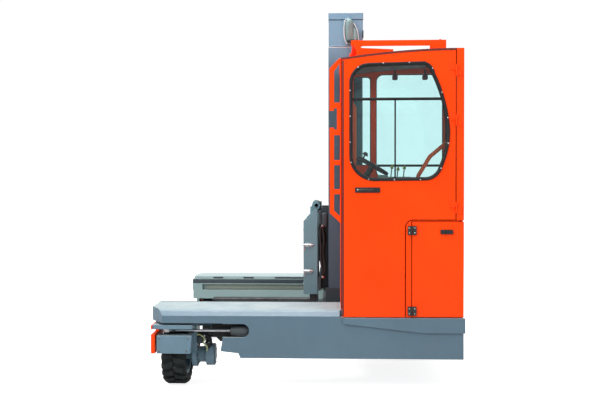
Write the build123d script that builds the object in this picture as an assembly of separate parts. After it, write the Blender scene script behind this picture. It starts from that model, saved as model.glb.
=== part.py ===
from build123d import *
import os
from math import sqrt

os.makedirs("parts", exist_ok=True)

# Multidirectional forklift.  Millimetres.  +X to the rear (forks point to -X),
# -Y is the cab side, +Z up, z = 0 on the floor under the tyres.

# ------------------------------------------------------------------ frame
TIP_X, REAR_X = -1155.0, 1145.0       # arm tips, rear of the frame
SIDE_Y, ARM_IN_Y = 1175.0, 745.0      # outer and inner side of the arms
DECK_Z, SLAB_Z = 593.0, 493.0         # top and underside of the arm slab
BEVEL, SOFT_R = 45.0, 60.0            # bevel along the outer top edge
TIP_CUT_X, TIP_CUT_Y = 99.0, 152.0    # slanted outer corner of the tips
PLATE_IN_Y, PLATE_OUT_Y, PLATE_T = 800.0, 1100.0, 25.0  # raised load plate of the far deck
SKIRT_Z, SKIRT_T = 240.0, 30.0        # lower edge and plate of the side skirt
WEB_Z, WEB_T = 408.0, 40.0            # inner web of the arm
TRACK_Z0, TRACK_Z1, TRACK_D = 492.0, 546.0, 30.0   # roller track in the web
TRACK_X0, CROSS_X0 = -1060.0, 470.0   # front end of the track, cross frame
BUMP_T, BUMP_X1 = 15.0, 1155.0        # step bumper
SEAM_NEAR_X, SEAM_FAR_X = 238.0, 462.0  # end of the free load decks

# ------------------------------------------------------------------ wheels
STEER_X, STEER_Y = -978.0, 945.0      # front steering axes (both sides)
REAR_STEER_X = 800.0                  # rear steering axis, on the centre line
TYRE_R, TYRE_W, RIM_R, RIM_W = 222.0, 182.0, 150.0, 158.0
AXLE_R, AXLE_FIT = 40.0, 0.4
PIVOT_R, PIVOT_FIT = 60.0, 0.5
ARM_PIN = (-50.0, -170.0)             # steering arm end, from the axis
ROD_Z, ROD_R, BARREL_R = 431.0, 10.0, 28.0

# ------------------------------------------------------------------ cab
CAB_X0, CAB_X1 = 258.0, 1145.0
CAB_IN_Y, WALL_T = -430.0, 40.0       # inner wall of the cab
DOOR_T = 40.0
DOOR_X0, DOOR_X1, DOOR_Z0 = 269.0, 1085.0, 545.0
DOOR_CUT_X, DOOR_CUT_Z, DOOR_CUT_R = 722.0, 1254.0, 58.0
HINGE_X, HINGE_Y = 1090.0, -1184.0    # cab door hinge line
BOX_HINGE_X, BOX_HINGE_Y = 770.0, -1184.5   # compartment door hinge line
FLOOR_Z = 850.0
SEAT_DECK_Z = 1240.0
# three points of the cab's curved top line (X, Z)
TOP_LINE = ((240.0, 2421.0), (692.0, 2474.0), (1145.0, 2490.5))
SEAL_W = 19.0                         # rubber round the door window

# ------------------------------------------------------------------ mast
MAST_Y = 400.0                        # half width over the outer uprights
MAST_X0, MAST_X1 = 164.0, 345.0       # depth of the outer uprights
MAST_Z0, MAST_Z1 = 659.0, 2631.0
HEAD_Z0, HEAD_Z1, TOP_Z = 2645.0, 2846.0, 2906.0
LIFT_CYL_X, LIFT_CYL_Y, LIFT_CYL_R, LIFT_ROD_R = 403.0, 355.0, 42.0, 25.0
TILT_X, TILT_Z = 60.0, 1335.0         # fork frame pivot
FORK_Y, FORK_W = 300.0, 120.0         # fork centre lines and blade width
FORK_TIP_X, FORK_Z0, FORK_T = -890.0, 434.0, 45.0


# ------------------------------------------------------------------ helpers
def box(x0, x1, y0, y1, z0, z1):
    return Pos((x0 + x1) / 2, (y0 + y1) / 2, (z0 + z1) / 2) * Box(
        abs(x1 - x0), abs(y1 - y0), abs(z1 - z0))


def cyl(p, d, r, h):
    return Part() + Solid.make_cylinder(r, h, Plane(origin=p, z_dir=d))


def xz_plane(y):
    # local x = X, local y = Z, extrudes towards -Y
    return Plane(origin=(0, y, 0), x_dir=(1, 0, 0), z_dir=(0, -1, 0))


def plate(face, y_in, y_out):
    return extrude(xz_plane(y_in) * face, amount=y_in - y_out)


def poly(points):
    return make_face(Polyline(*points, close=True))


def prism_y(points, y0, y1):
    return plate(poly(points), max(y0, y1), min(y0, y1))


def prism_z(points, z0, z1):
    return extrude(Pos(0, 0, z0) * poly(points), amount=z1 - z0)


def prism_x(points, x0, x1):
    # points are (Y, Z)
    pl = Plane(origin=(x0, 0, 0), x_dir=(0, 1, 0), z_dir=(1, 0, 0))
    return extrude(pl * poly(points), amount=x1 - x0)


def far(part):
    return mirror(part, about=Plane.XZ)


def save(name, *solids):
    shapes = []
    for s in solids:
        shapes += list(s.solids())
    out = shapes[0] if len(shapes) == 1 else Compound(shapes)
    export_step(out, f"parts/{name}.step")


def arc_z(x, shift=0.0):
    # height of the cab's curved top line at x
    (x1, z1), (x2, z2), (x3, z3) = TOP_LINE
    a, b = x2 - x1, z2 - z1
    c, d = x3 - x1, z3 - z1
    e = a * (x1 + x2) + b * (z1 + z2)
    f = c * (x1 + x3) + d * (z1 + z3)
    g = 2 * (a * (z3 - z2) - b * (x3 - x2))
    cx, cz = (d * e - b * f) / g, (a * f - c * e) / g
    r = sqrt((x1 - cx) ** 2 + (z1 - cz) ** 2)
    return cz + sqrt(r * r - (x - cx) ** 2) + shift


def top_band(x0, x1, low, high, y_in, y_out):
    # slab between two parallel copies of the top line
    xm = (x0 + x1) / 2
    up = ThreePointArc((x0, arc_z(x0, high)), (xm, arc_z(xm, high)), (x1, arc_z(x1, high)))
    dn = ThreePointArc((x0, arc_z(x0, low)), (xm, arc_z(xm, low)), (x1, arc_z(x1, low)))
    face = make_face([up, Line((x1, arc_z(x1, high)), (x1, arc_z(x1, low))), dn,
                      Line((x0, arc_z(x0, low)), (x0, arc_z(x0, high)))])
    return plate(face, y_in, y_out)


def under_top(part, low):
    # trims a wall to the curve of the roof
    x0, x1 = 150.0, 1250.0
    xm = (x0 + x1) / 2
    dn = ThreePointArc((x0, arc_z(x0, low)), (xm, arc_z(xm, low)), (x1, arc_z(x1, low)))
    face = make_face([dn, Line((x1, arc_z(x1, low)), (x1, 2800)),
                      Line((x1, 2800), (x0, 2800)), Line((x0, 2800), (x0, arc_z(x0, low)))])
    return part - plate(face, 1300, -1300)


def round_rect(x0, x1, z0, z1, r):
    return Pos((x0 + x1) / 2, (z0 + z1) / 2) * RectangleRounded(x1 - x0, z1 - z0, r)


# ================================================================== chassis
def arm(cab_side):
    slab = box(TIP_X, REAR_X, -SIDE_Y, -ARM_IN_Y, SLAB_Z, DECK_Z)
    # outer top edge: bevel with a soft upper corner
    slab = chamfer([e for e in slab.edges() if abs(e.center().Z - DECK_Z) < 1
                    and abs(e.center().Y + SIDE_Y) < 1], BEVEL)
    slab = fillet([e for e in slab.edges() if abs(e.center().Z - DECK_Z) < 1
                   and abs(e.center().Y + SIDE_Y - BEVEL) < 1], SOFT_R)
    slab -= prism_z([(TIP_X, -SIDE_Y + TIP_CUT_Y), (TIP_X + TIP_CUT_X, -SIDE_Y),
                     (TIP_X + TIP_CUT_X, -SIDE_Y - 20), (TIP_X - 20, -SIDE_Y - 20),
                     (TIP_X - 20, -SIDE_Y + TIP_CUT_Y)], SLAB_Z - 10, DECK_Z + 10)
    skirt = prism_y([(REAR_X, SKIRT_Z), (-477, SKIRT_Z), (-491, 274), (-622, 289),
                     (-608, 380), (-608, SLAB_Z), (REAR_X, SLAB_Z)],
                    -SIDE_Y, -SIDE_Y + SKIRT_T)
    # slot in the skirt in front of the steering cylinder
    slot = box(-640, -461, -SIDE_Y - 10, -SIDE_Y + SKIRT_T + 5, 390, 489)
    slot += cyl((-461, -SIDE_Y - 10, 439.5), (0, 1, 0), 49.5, SKIRT_T + 15)
    skirt -= slot
    web = box(TIP_X + 6, 1115, -ARM_IN_Y - WEB_T, -ARM_IN_Y, WEB_Z, SLAB_Z)
    # back of the steering cylinder's pocket
    pocket = box(-708, -411, -1058, -1046, WEB_Z, SLAB_Z)
    pocket += prism_y([(-702, WEB_Z + 4), (-600, WEB_Z + 4), (-600, 340), (-640, 340)], -1058, -1046)
    body = slab + skirt + web + pocket
    # roller track of the mast carriage
    body -= box(TRACK_X0, CROSS_X0, -ARM_IN_Y - TRACK_D, -ARM_IN_Y + 5, TRACK_Z0, TRACK_Z1)
    # slewing ring, pivot bore and room for the turning wheel bracket
    body -= cyl((STEER_X, -STEER_Y, WEB_Z - 10), (0, 0, 1), 184, 484 - WEB_Z + 10)
    body += cyl((STEER_X, -STEER_Y, 485), (0, 0, 1), 105, 10)
    body -= cyl((STEER_X, -STEER_Y, 470), (0, 0, 1), PIVOT_R + PIVOT_FIT, 100)
    # seam between the load deck and the part under the cab or hood
    seam = SEAM_NEAR_X if cab_side else SEAM_FAR_X
    body -= box(seam, seam + 5, -SIDE_Y - 10, -ARM_IN_Y + 10, DECK_Z - 3, DECK_Z + 10)
    if cab_side:
        body -= box(250, REAR_X + 10, -SIDE_Y - 10, -1128, 540, DECK_Z + 10)
    return body


near_arm = arm(True)
save("near_arm", near_arm)
save("far_arm", far(arm(False)))

# raised load plate on the far deck, its outer corner slanted like the tip's
save("far_deck_plate", prism_z([(TIP_X + 10, PLATE_IN_Y), (SEAM_FAR_X - 12, PLATE_IN_Y), (SEAM_FAR_X - 12, PLATE_OUT_Y),
                                (TIP_X + 60, PLATE_OUT_Y), (TIP_X + 10, SIDE_Y - TIP_CUT_Y)], DECK_Z, DECK_Z + PLATE_T))

cross = box(CROSS_X0, REAR_X, -ARM_IN_Y, ARM_IN_Y, SLAB_Z, DECK_Z)
cross += box(1115, REAR_X, -SIDE_Y + SKIRT_T, SIDE_Y - SKIRT_T, SKIRT_Z, SLAB_Z)
cross += cyl((REAR_STEER_X, 0, 485), (0, 0, 1), 105, 10)
cross -= cyl((REAR_STEER_X, 0, 470), (0, 0, 1), PIVOT_R + PIVOT_FIT, 100)
save("rear_crossmember", cross)

bumper = prism_y([(272, 540), (272, 497), (854, 432), (BUMP_X1, 432), (BUMP_X1, 540)],
                 -SIDE_Y - BUMP_T, -SIDE_Y)
bumper += box(REAR_X, BUMP_X1, -SIDE_Y - BUMP_T, -1146, 432, 540)
save("step_bumpers", bumper, far(bumper))

# steering cylinder barrels, held on the inside of the skirt
CYL_Y = -STEER_Y + ARM_PIN[1]
barrel = cyl((-540, CYL_Y, ROD_Z), (1, 0, 0), BARREL_R, 600)
barrel += cyl((-548, CYL_Y, ROD_Z), (1, 0, 0), 27, 10)
barrel += box(-20, 30, -SIDE_Y + SKIRT_T, CYL_Y, ROD_Z - 16, ROD_Z + 16)
barrel -= cyl((-560, CYL_Y, ROD_Z), (1, 0, 0), ROD_R + 2, 590)
save("steer_barrels", barrel, far(barrel))

# steering rods with their eyes
rod = cyl((STEER_X + ARM_PIN[0], CYL_Y, ROD_Z), (1, 0, 0), ROD_R, 760)
rod += cyl((STEER_X + ARM_PIN[0], CYL_Y, 419), (0, 0, 1), 26, 24)
save("steer_rod_near", rod)
save("steer_rod_far", far(rod))

# ================================================================== wheels


def knuckle():
    # wheel bracket about its own steering axis, wheel axle along X
    k = box(-146, 155, -80, 80, 449, 478)
    k += box(-146, 146, -235, -80, 449, 478)
    k += cyl((0, 0, 478), (0, 0, 1), PIVOT_R, 82)
    k += box(ARM_PIN[0] - 25, ARM_PIN[0] + 25, ARM_PIN[1], -70, 449, 471)
    k += cyl((ARM_PIN[0], ARM_PIN[1], 449), (0, 0, 1), 28, 22)
    k += box(118, 155, -78, 78, 222, 449)                    # leg
    k += cyl((118, 0, TYRE_R), (1, 0, 0), 92, 37)            # hub seat
    k += box(118, 134, -242, -60, 271, 400)                  # cover side
    k += prism_y([(-113, 271), (134, 271), (146, 400), (-113, 400)], -242, -230)
    k += box(-113, 138, -240, -149, 392, 402)                # shelf over the cover
    k += cyl((-50, 0, TYRE_R), (1, 0, 0), AXLE_R, 182)       # axle
    k += cyl((155, 0, TYRE_R), (1, 0, 0), 57, 70)            # drive motor
    k += cyl((223, 0, TYRE_R), (1, 0, 0), 83, 61)
    return k


def guard():
    # upright plate on the wheel's open side
    g = box(-156, -128, -242, 80, 271, 411)
    g += box(-156, -128, -80, 80, 411, 449)
    g += box(-156, -146, -242, 80, 449, 478)
    return g


def rim():
    r = cyl((-RIM_W / 2, 0, TYRE_R), (1, 0, 0), RIM_R, RIM_W)
    r -= cyl((-RIM_W / 2 - 1, 0, TYRE_R), (1, 0, 0), 120, 36)
    r -= cyl((38, 0, TYRE_R), (1, 0, 0), 124, 60)
    r -= cyl((-RIM_W / 2 - 1, 0, TYRE_R), (1, 0, 0), AXLE_R + AXLE_FIT, RIM_W + 2)
    return r


def tyre():
    t = cyl((-TYRE_W / 2, 0, TYRE_R), (1, 0, 0), TYRE_R, TYRE_W)
    edges = [e for e in t.edges() if e.geom_type == GeomType.CIRCLE]
    t = fillet(edges, 24)
    t -= cyl((-TYRE_W / 2 - 1, 0, TYRE_R), (1, 0, 0), RIM_R, TYRE_W + 2)
    return t


# name, axis X, axis Y, mirrored
WHEELS = (("near", STEER_X, -STEER_Y, False),
          ("far", STEER_X, STEER_Y, True),
          ("rear", REAR_STEER_X, 0.0, False))
for wname, wx, wy, flip in WHEELS:
    for piece, make in (("knuckle", knuckle), ("wheel_guard", guard), ("rim", rim), ("tyre", tyre)):
        solid = make()
        if flip:
            solid = far(solid)
        save(f"{piece}_{wname}", Pos(wx, wy, 0) * solid)

# ================================================================== cab
ROOF_LOW, ROOF_HIGH = -30.0, 0.0
IN_Y0 = CAB_IN_Y - WALL_T
save("cab_roof", top_band(CAB_X0 - 8, CAB_X1, ROOF_LOW, ROOF_HIGH, -425, -1130))

front = box(CAB_X0, CAB_X0 + WALL_T, -1128, CAB_IN_Y, DECK_Z, 2600)
front -= box(CAB_X0 - 5, CAB_X0 + WALL_T + 5, -ARM_IN_Y, CAB_IN_Y + 5, DECK_Z - 5, 602)
front = under_top(front, ROOF_LOW)
FRONT_WIN = (-1085.0, -475.0, 1380.0, 2370.0)
front -= box(CAB_X0 - 5, CAB_X0 + WALL_T + 5, *FRONT_WIN)
save("cab_front_wall", front)

inner = box(CAB_X0 + WALL_T, 1110, IN_Y0, CAB_IN_Y, DECK_Z, 2600)
inner -= box(CAB_X0, CROSS_X0, IN_Y0 - 5, CAB_IN_Y + 5, DECK_Z - 5, 602)
inner = under_top(inner, ROOF_LOW)
# X0, X1, Z0, Z1, corner radius
INNER_WINS = ((369.0, 508.0, 1661.0, 2380.0, 30.0), (549.0, 1090.0, 1561.0, 2400.0, 60.0))
for x0, x1, z0, z1, r in INNER_WINS:
    inner -= plate(round_rect(x0, x1, z0, z1, r), CAB_IN_Y + 5, IN_Y0 - 5)
inner += box(545, 1094, IN_Y0, IN_Y0 + 10, 1652, 1668)    # bar across the large window
save("cab_inner_wall", inner)

rear = box(1110, CAB_X1, -1130, CAB_IN_Y, DECK_Z, 2600)
rear = under_top(rear, ROOF_LOW)
rear += under_top(box(1092, CAB_X1, -SIDE_Y, -1130, 1250, 2600), 0.0)
REAR_WIN = (-1060.0, -520.0, 1661.0, 2390.0)
rear -= box(1100, CAB_X1 + 5, *REAR_WIN)
save("cab_rear_wall", rear)

GLASS_T = 6.0
glass_front = box(CAB_X0 + 17, CAB_X0 + 17 + GLASS_T, *FRONT_WIN)
glass_rear = box(1125, 1125 + GLASS_T, *REAR_WIN)
glass_inner = [plate(round_rect(x0, x1, z0, z1, r), CAB_IN_Y - 17, CAB_IN_Y - 17 - GLASS_T)
               for x0, x1, z0, z1, r in INNER_WINS]
save("cab_glass", glass_front, glass_rear, *glass_inner)

save("cab_floor", box(CAB_X0 + WALL_T, 735, -1126, IN_Y0, FLOOR_Z - 30, FLOOR_Z))

deck = box(735, 1110, -1130, IN_Y0, SEAT_DECK_Z - 25, SEAT_DECK_Z)
deck += box(735, 757, -1130, IN_Y0, DECK_Z, SEAT_DECK_Z - 25)
deck += box(729, 768, -SIDE_Y, -1130, DOOR_Z0, 1249)
deck += box(768, 1110, -SIDE_Y + 4, -1130, 1241, 1247)
# rounded corner beside the door
cx, cz = DOOR_CUT_X + DOOR_CUT_R, DOOR_CUT_Z - DOOR_CUT_R
corner = box(720, cx, -SIDE_Y - 5, -1130, cz, 1260)
corner -= cyl((cx, -SIDE_Y - 10, cz), (0, 1, 0), DOOR_CUT_R - 7, 60)
deck -= corner
save("seat_deck", deck)

# overhead guard: two long bars with end bars on short supports
guard_top = None
for y0, y1 in ((-1126.0, -1096.0), (-504.0, -474.0)):
    rail = box(333, 1022, y0, y1, 2520, 2558)
    rail += prism_y([(333, 2556), (378, 2556), (450, 2430), (405, 2430)], y0, y1)   # slanted support
    rail += prism_y([(372, 2505), (640, 2492), (640, 2400), (372, 2400)], y0, y1)   # foot rail
    rail += box(906, 1022, y0, y1, 2400, 2530)
    guard_top = rail if guard_top is None else guard_top + rail
for x0, x1 in ((345.0, 385.0), (960.0, 1000.0)):
    guard_top += box(x0, x1, -1100, -500, 2530, 2552)
# the supports stand on the roof's curve
xm0, xm1 = 150.0, 1250.0
xm = (xm0 + xm1) / 2
up = ThreePointArc((xm0, arc_z(xm0, ROOF_HIGH)), (xm, arc_z(xm, ROOF_HIGH)), (xm1, arc_z(xm1, ROOF_HIGH)))
low = make_face([up, Line((xm1, arc_z(xm1, ROOF_HIGH)), (xm1, 2300)),
                 Line((xm1, 2300), (xm0, 2300)), Line((xm0, 2300), (xm0, arc_z(xm0, ROOF_HIGH)))])
guard_top -= plate(low, 0, -1300)
save("roof_guard", guard_top)

# slotted plate beside the mast, in the plane of the door
side = prism_y([(262, 2424), (262, 1222), (178, 1301), (176, 2352), (246, 2424)], -1150, -1142)
side -= prism_y([(209, 2104), (252, 2104), (252, 2391), (209, 2330)], -1160, -1130)
side -= prism_y([(150, 1923), (205, 1923), (212, 1908), (230, 1908), (230, 2064), (212, 2064),
                 (205, 2045), (150, 2045)], -1160, -1130)
for z0, z1, slant in ((1687, 1868, 0), (1475, 1650, 0), (1277, 1438, 42)):
    side -= prism_y([(209, z0 + slant), (252, z0), (252, z1), (209, z1)], -1160, -1130)
for z in (1456.0, 1668.0, 1886.0, 2085.0):
    side += box(240, CAB_X0, -1142, -1100, z - 12, z + 12)
save("mast_side_guard", side)

# seat, console, wheel and rails inside the cab
CUSHION = (640.0, 1040.0, -1010.0, -560.0, SEAT_DECK_Z + 4, SEAT_DECK_Z + 110)
save("seat_cushion", fillet(box(*CUSHION).edges(), 30))
BACK = (1012.0, 1096.0, -1000.0, -570.0, SEAT_DECK_Z + 118, 1640.0)
save("seat_back", fillet(box(*BACK).edges(), 28))

console = prism_y([(300, FLOOR_Z), (360, FLOOR_Z), (430, 1440), (480, 1520), (440, 1570), (300, 1480)],
                  -960, -760)
console += cyl((412, -860, 1499), (0.5, 0, 0.866), 22, 158)
save("steering_console", console)
WHEEL_C = Plane(origin=(501, -860, 1653), z_dir=(0.5, 0, 0.866))
wheel = WHEEL_C * Torus(125, 13)
wheel += WHEEL_C * (Pos(0, 0, -4) * Cylinder(34, 26))
for ang in (90, 210, 330):
    wheel += WHEEL_C * (Rot(0, 0, ang) * (Pos(70, 0, -4) * Box(110, 22, 10)))
save("cab_steering_wheel", wheel)

def tube(points, radii, r):
    path = FilletPolyline(*points, radius=radii)
    start = Plane(origin=path @ 0, z_dir=path % 0)
    return sweep(start * Circle(r), path=path)


rail_a = tube([(CAB_X0 + WALL_T, -1040, 1640), (362, -1040, 1640), (362, -1040, 2110),
               (CAB_X0 + WALL_T, -1040, 2110)], 45, 13)
rail_b = tube([(1110, -1065, 1832), (1054, -1065, 1832), (913, -1065, 1714), (826, -1065, 1570),
               (826, -1065, SEAT_DECK_Z)], 40, 15)
save("grab_rails", rail_a, rail_b)

# fixed halves of the hinges
DOOR_HINGES_Z = (1300.0, 1930.0, 2290.0)
BOX_HINGES_Z = (591.0, 1176.0)
fixed = []
for z in DOOR_HINGES_Z:
    fixed.append(box(HINGE_X, 1130, HINGE_Y + 3, -SIDE_Y, z, z + 40)
                 + cyl((HINGE_X, HINGE_Y, z), (0, 0, 1), 6, 40))
save("cab_hinges", *fixed)
fixed = []
for z in BOX_HINGES_Z:
    fixed.append(box(742, 764, -1187, -SIDE_Y, z - 32, z + 32)
                 + box(764, BOX_HINGE_X, -1187, -SIDE_Y, z - 32, z - 1)
                 + cyl((BOX_HINGE_X, BOX_HINGE_Y, z - 32), (0, 0, 1), 5, 31))
save("compartment_hinges", *fixed)

# ------------------------------------------------------------------ cab door
win = make_face([
    Line((323, 1715), (323, 2240)),
    ThreePointArc((323, 2240), (362, 2340), (465, 2383)),
    Line((465, 2383), (860, 2392)),
    ThreePointArc((860, 2392), (905, 2364), (932, 2310)),
    ThreePointArc((932, 2310), (1008, 2100), (1040, 1900)),
    ThreePointArc((1040, 1900), (1026, 1760), (985, 1632)),
    ThreePointArc((985, 1632), (940, 1566), (870, 1541)),
    Line((870, 1541), (500, 1537)),
    ThreePointArc((500, 1537), (375, 1590), (323, 1715)),
])
win_in = offset(win, amount=-SEAL_W)

lower = box(DOOR_X0, DOOR_CUT_X, -SIDE_Y, -SIDE_Y + DOOR_T, DOOR_Z0, DOOR_CUT_Z + 1)
upper = box(DOOR_X0, DOOR_X1, -SIDE_Y, -SIDE_Y + DOOR_T, DOOR_CUT_Z, 2600)
web = box(DOOR_CUT_X, DOOR_CUT_X + DOOR_CUT_R, -SIDE_Y, -SIDE_Y + DOOR_T,
          DOOR_CUT_Z - DOOR_CUT_R, DOOR_CUT_Z)
web -= cyl((DOOR_CUT_X + DOOR_CUT_R, -SIDE_Y - 5, DOOR_CUT_Z - DOOR_CUT_R), (0, 1, 0), DOOR_CUT_R, DOOR_T + 10)
door = lower + upper + web
door = under_top(door, -9.0)
door -= plate(win, -SIDE_Y + DOOR_T + 5, -SIDE_Y - 5)
save("cab_door", door)

frame_ring = plate(win - win_in, -1150, -1178)
BAR_Z, BAR_X = (2118.0, 2136.0), (642.0, 660.0)
bars = plate(Pos(680, 2127) * Rectangle(1200, BAR_Z[1] - BAR_Z[0]) & win_in, -1156, -1168)
bars += plate(Pos(651, 1800) * Rectangle(BAR_X[1] - BAR_X[0], 2 * (BAR_Z[0] - 1800) + 4) & win_in, -1156, -1168)
save("door_window_frame", frame_ring + bars)
save("door_glass", plate(win_in, -1150.5, -1155.5))

handle = box(360, 542, -1181, -SIDE_Y, 1449, 1487) + box(372, 505, -1190, -1181, 1456, 1476)
leaves = []
for z in DOOR_HINGES_Z:
    leaves.append(box(1045, HINGE_X, HINGE_Y + 3, -SIDE_Y, z + 42, z + 80)
                  + cyl((HINGE_X, HINGE_Y, z + 42), (0, 0, 1), 6, 38))
save("door_handle", handle)
save("door_hinges", *leaves)

# ------------------------------------------------------- compartment door
comp = box(774, CAB_X1, -SIDE_Y, -1140, 547, 1237)
save("compartment_door", comp)
comp_fit = [box(978, 1066, -1187, -SIDE_Y, 1150, 1181)]
for z in BOX_HINGES_Z:
    comp_fit.append(box(779, 804, -1187, -SIDE_Y, z - 32, z + 32)
                    + box(BOX_HINGE_X, 779, -1187, -SIDE_Y, z + 1, z + 32)
                    + cyl((BOX_HINGE_X, BOX_HINGE_Y, z + 1), (0, 0, 1), 5, 31))
save("compartment_fittings", *comp_fit)

# ================================================================== rear bay
HOOD = (480.0, CAB_X1, -425.0, 1128.0, DECK_Z, 1400.0)
HOOD_T = 20.0
hood = box(*HOOD)
hood -= box(HOOD[0] + HOOD_T, HOOD[1] - HOOD_T, HOOD[2] + HOOD_T, HOOD[3] - HOOD_T, HOOD[4] - 1, HOOD[5] - HOOD_T)
top_edges = [e for e in hood.edges() if abs(e.center().Z - HOOD[5]) < 1]
hood = chamfer(top_edges, 12)
save("battery_hood", hood)
save("battery_block", box(560, 1060, 60, 1060, DECK_Z, 1240))

# ================================================================== mast
ROLLER_X = (150.0, 400.0)


def both(part):
    return part + far(part)


carr = box(110, 450, -715, -690, 415, 584)
for x in ROLLER_X:
    carr += cyl((x, -769, 519), (0, 1, 0), 24, 60)
carr += box(140, 450, -MAST_Y - 4, -312, 440, 618)
carr += box(140, 352, -MAST_Y - 4, -312, 618, MAST_Z0)
carr = both(carr)
carr += box(110, 175, -690, 690, 420, 500)
carr += box(385, 450, -690, 690, 420, 584)
save("reach_carriage", carr)

up = box(MAST_X0, MAST_X1, -MAST_Y, -MAST_Y + 15, MAST_Z0, MAST_Z1)
up += box(MAST_X0, MAST_X0 + 18, -MAST_Y, -320, MAST_Z0, MAST_Z1)
up += box(MAST_X1 - 18, MAST_X1, -MAST_Y, -320, MAST_Z0, MAST_Z1)
outer_mast = both(up)
for z0, z1 in ((700.0, 820.0), (1520.0, 1620.0), (2480.0, 2600.0)):
    outer_mast += box(MAST_X1, MAST_X1 + 12, -MAST_Y, MAST_Y, z0, z1)
save("outer_mast", outer_mast)

lift_barrel = cyl((LIFT_CYL_X, -LIFT_CYL_Y, 618), (0, 0, 1), LIFT_CYL_R, 1942)
lift_barrel -= cyl((LIFT_CYL_X, -LIFT_CYL_Y, 640), (0, 0, 1), LIFT_ROD_R + 2, 1930)
save("lift_cylinders", lift_barrel, far(lift_barrel))
lift_rod = cyl((LIFT_CYL_X, -LIFT_CYL_Y, 800), (0, 0, 1), LIFT_ROD_R, HEAD_Z0 - 800)
save("lift_rods", lift_rod, far(lift_rod))

INNER_X0, INNER_X1 = 190.0, 319.0
im = box(INNER_X0, INNER_X1, -352, -338, 672, HEAD_Z1)
im += box(INNER_X0, INNER_X0 + 18, -378, -300, 672, HEAD_Z1)
im += box(INNER_X1 - 18, INNER_X1, -378, -300, 672, HEAD_Z1)
im += box(MAST_X0 + 2, 446, -397, -352, HEAD_Z0, HEAD_Z1)
im += box(350, 446, -397, -318, HEAD_Z0, HEAD_Z1)
im += box(MAST_X0 + 8, 440, -388, -318, HEAD_Z1, HEAD_Z1 + 8)
im += box(MAST_X0, 448, -MAST_Y, -300, HEAD_Z1 + 8, TOP_Z)
inner_mast = both(im)
for z0, z1 in ((690.0, 800.0), (1680.0, 1770.0), (2720.0, HEAD_Z1)):
    inner_mast += box(INNER_X1 - 16, INNER_X1, -302, 302, z0, z1)
inner_mast += box(210, 300, -302, 302, HEAD_Z1 + 14, TOP_Z - 6)
save("inner_mast", inner_mast)

# hose sheave on the near side of the mast head
SHEAVE = (353.0, 2790.0)
sheave = cyl((SHEAVE[0], -438, SHEAVE[1]), (0, 1, 0), 50, 30)
sheave -= cyl((SHEAVE[0], -440, SHEAVE[1]), (0, 1, 0), 34, 8)
sheave += cyl((SHEAVE[0], -438, SHEAVE[1]), (0, 1, 0), 16, 41)
save("hose_sheave", sheave)

lc = box(100, 275, -292, -268, 640, 1320)
for z in (730.0, 1250.0):
    lc += cyl((254.5, -334, z), (0, 1, 0), 43, 50)
lc += cyl((TILT_X, -214, TILT_Z), (0, 1, 0), 28, 30)
lc += box(72, 100, -214, -184, 1270, 1358)
lift_carriage = both(lc)
for z0, z1 in ((640.0, 750.0), (1180.0, 1290.0)):
    lift_carriage += box(82, 100, -420, 420, z0, z1)
lift_carriage += cyl((TILT_X, -262, TILT_Z), (0, 1, 0), 15, 524)
save("lift_carriage", lift_carriage)

ff = prism_y([(-41, 610), (74, 610), (74, 1300), (50, 1300), (-41, 1210)], -420, -392)
ear = cyl((TILT_X, -250, TILT_Z), (0, 1, 0), 32, 30)
ear += box(10, TILT_X, -250, -220, 1160, TILT_Z - 10)
ff += ear
ff -= cyl((TILT_X, -264, TILT_Z), (0, 1, 0), 15.5, 80)
fork_frame = both(ff)
fork_frame += box(-35, 8, -392, 392, 1080, 1190)
fork_frame += box(8, 40, -392, 392, 1140, 1190)
fork_frame += box(-35, 8, -392, 392, 640, 740)
save("fork_frame", fork_frame)


def fork(y):
    f = box(8, 66, y - FORK_W / 2, y + FORK_W / 2, FORK_Z0, 1130)
    f += prism_y([(8, FORK_Z0), (8, FORK_Z0 + FORK_T), (FORK_TIP_X, FORK_Z0 + FORK_T), (FORK_TIP_X, FORK_Z0 + 30),
                  (-420, FORK_Z0)],
                 y - FORK_W / 2, y + FORK_W / 2)
    return f


save("fork_near", fork(-FORK_Y))
save("fork_far", fork(FORK_Y))
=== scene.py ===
import math
import bpy
import bmesh
from mathutils import Matrix, Vector


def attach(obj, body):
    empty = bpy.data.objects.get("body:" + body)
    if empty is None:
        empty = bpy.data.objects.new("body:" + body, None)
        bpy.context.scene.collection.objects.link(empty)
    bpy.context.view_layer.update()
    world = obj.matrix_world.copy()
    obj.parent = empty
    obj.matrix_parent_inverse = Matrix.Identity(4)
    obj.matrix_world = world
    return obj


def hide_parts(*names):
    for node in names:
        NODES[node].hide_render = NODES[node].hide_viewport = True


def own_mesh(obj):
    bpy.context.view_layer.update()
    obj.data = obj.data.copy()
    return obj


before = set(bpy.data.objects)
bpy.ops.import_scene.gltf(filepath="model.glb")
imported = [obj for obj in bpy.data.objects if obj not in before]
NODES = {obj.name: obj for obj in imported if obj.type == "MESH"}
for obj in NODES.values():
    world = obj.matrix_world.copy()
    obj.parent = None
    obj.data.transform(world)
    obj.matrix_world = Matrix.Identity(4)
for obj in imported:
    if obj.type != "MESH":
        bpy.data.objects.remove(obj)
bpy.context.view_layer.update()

scene = bpy.context.scene

# ---------------------------------------------------------------- dimensions (m)
TYRE_R, TYRE_W, RIM_R = 0.222, 0.182, 0.150
STEER_X, STEER_Y, REAR_X = -0.978, 0.945, 0.800
DOOR_Y = -1.175                       # outer face of the door
TOP_LINE = ((0.240, 2.421), (0.692, 2.474), (1.145, 2.4905))


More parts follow.
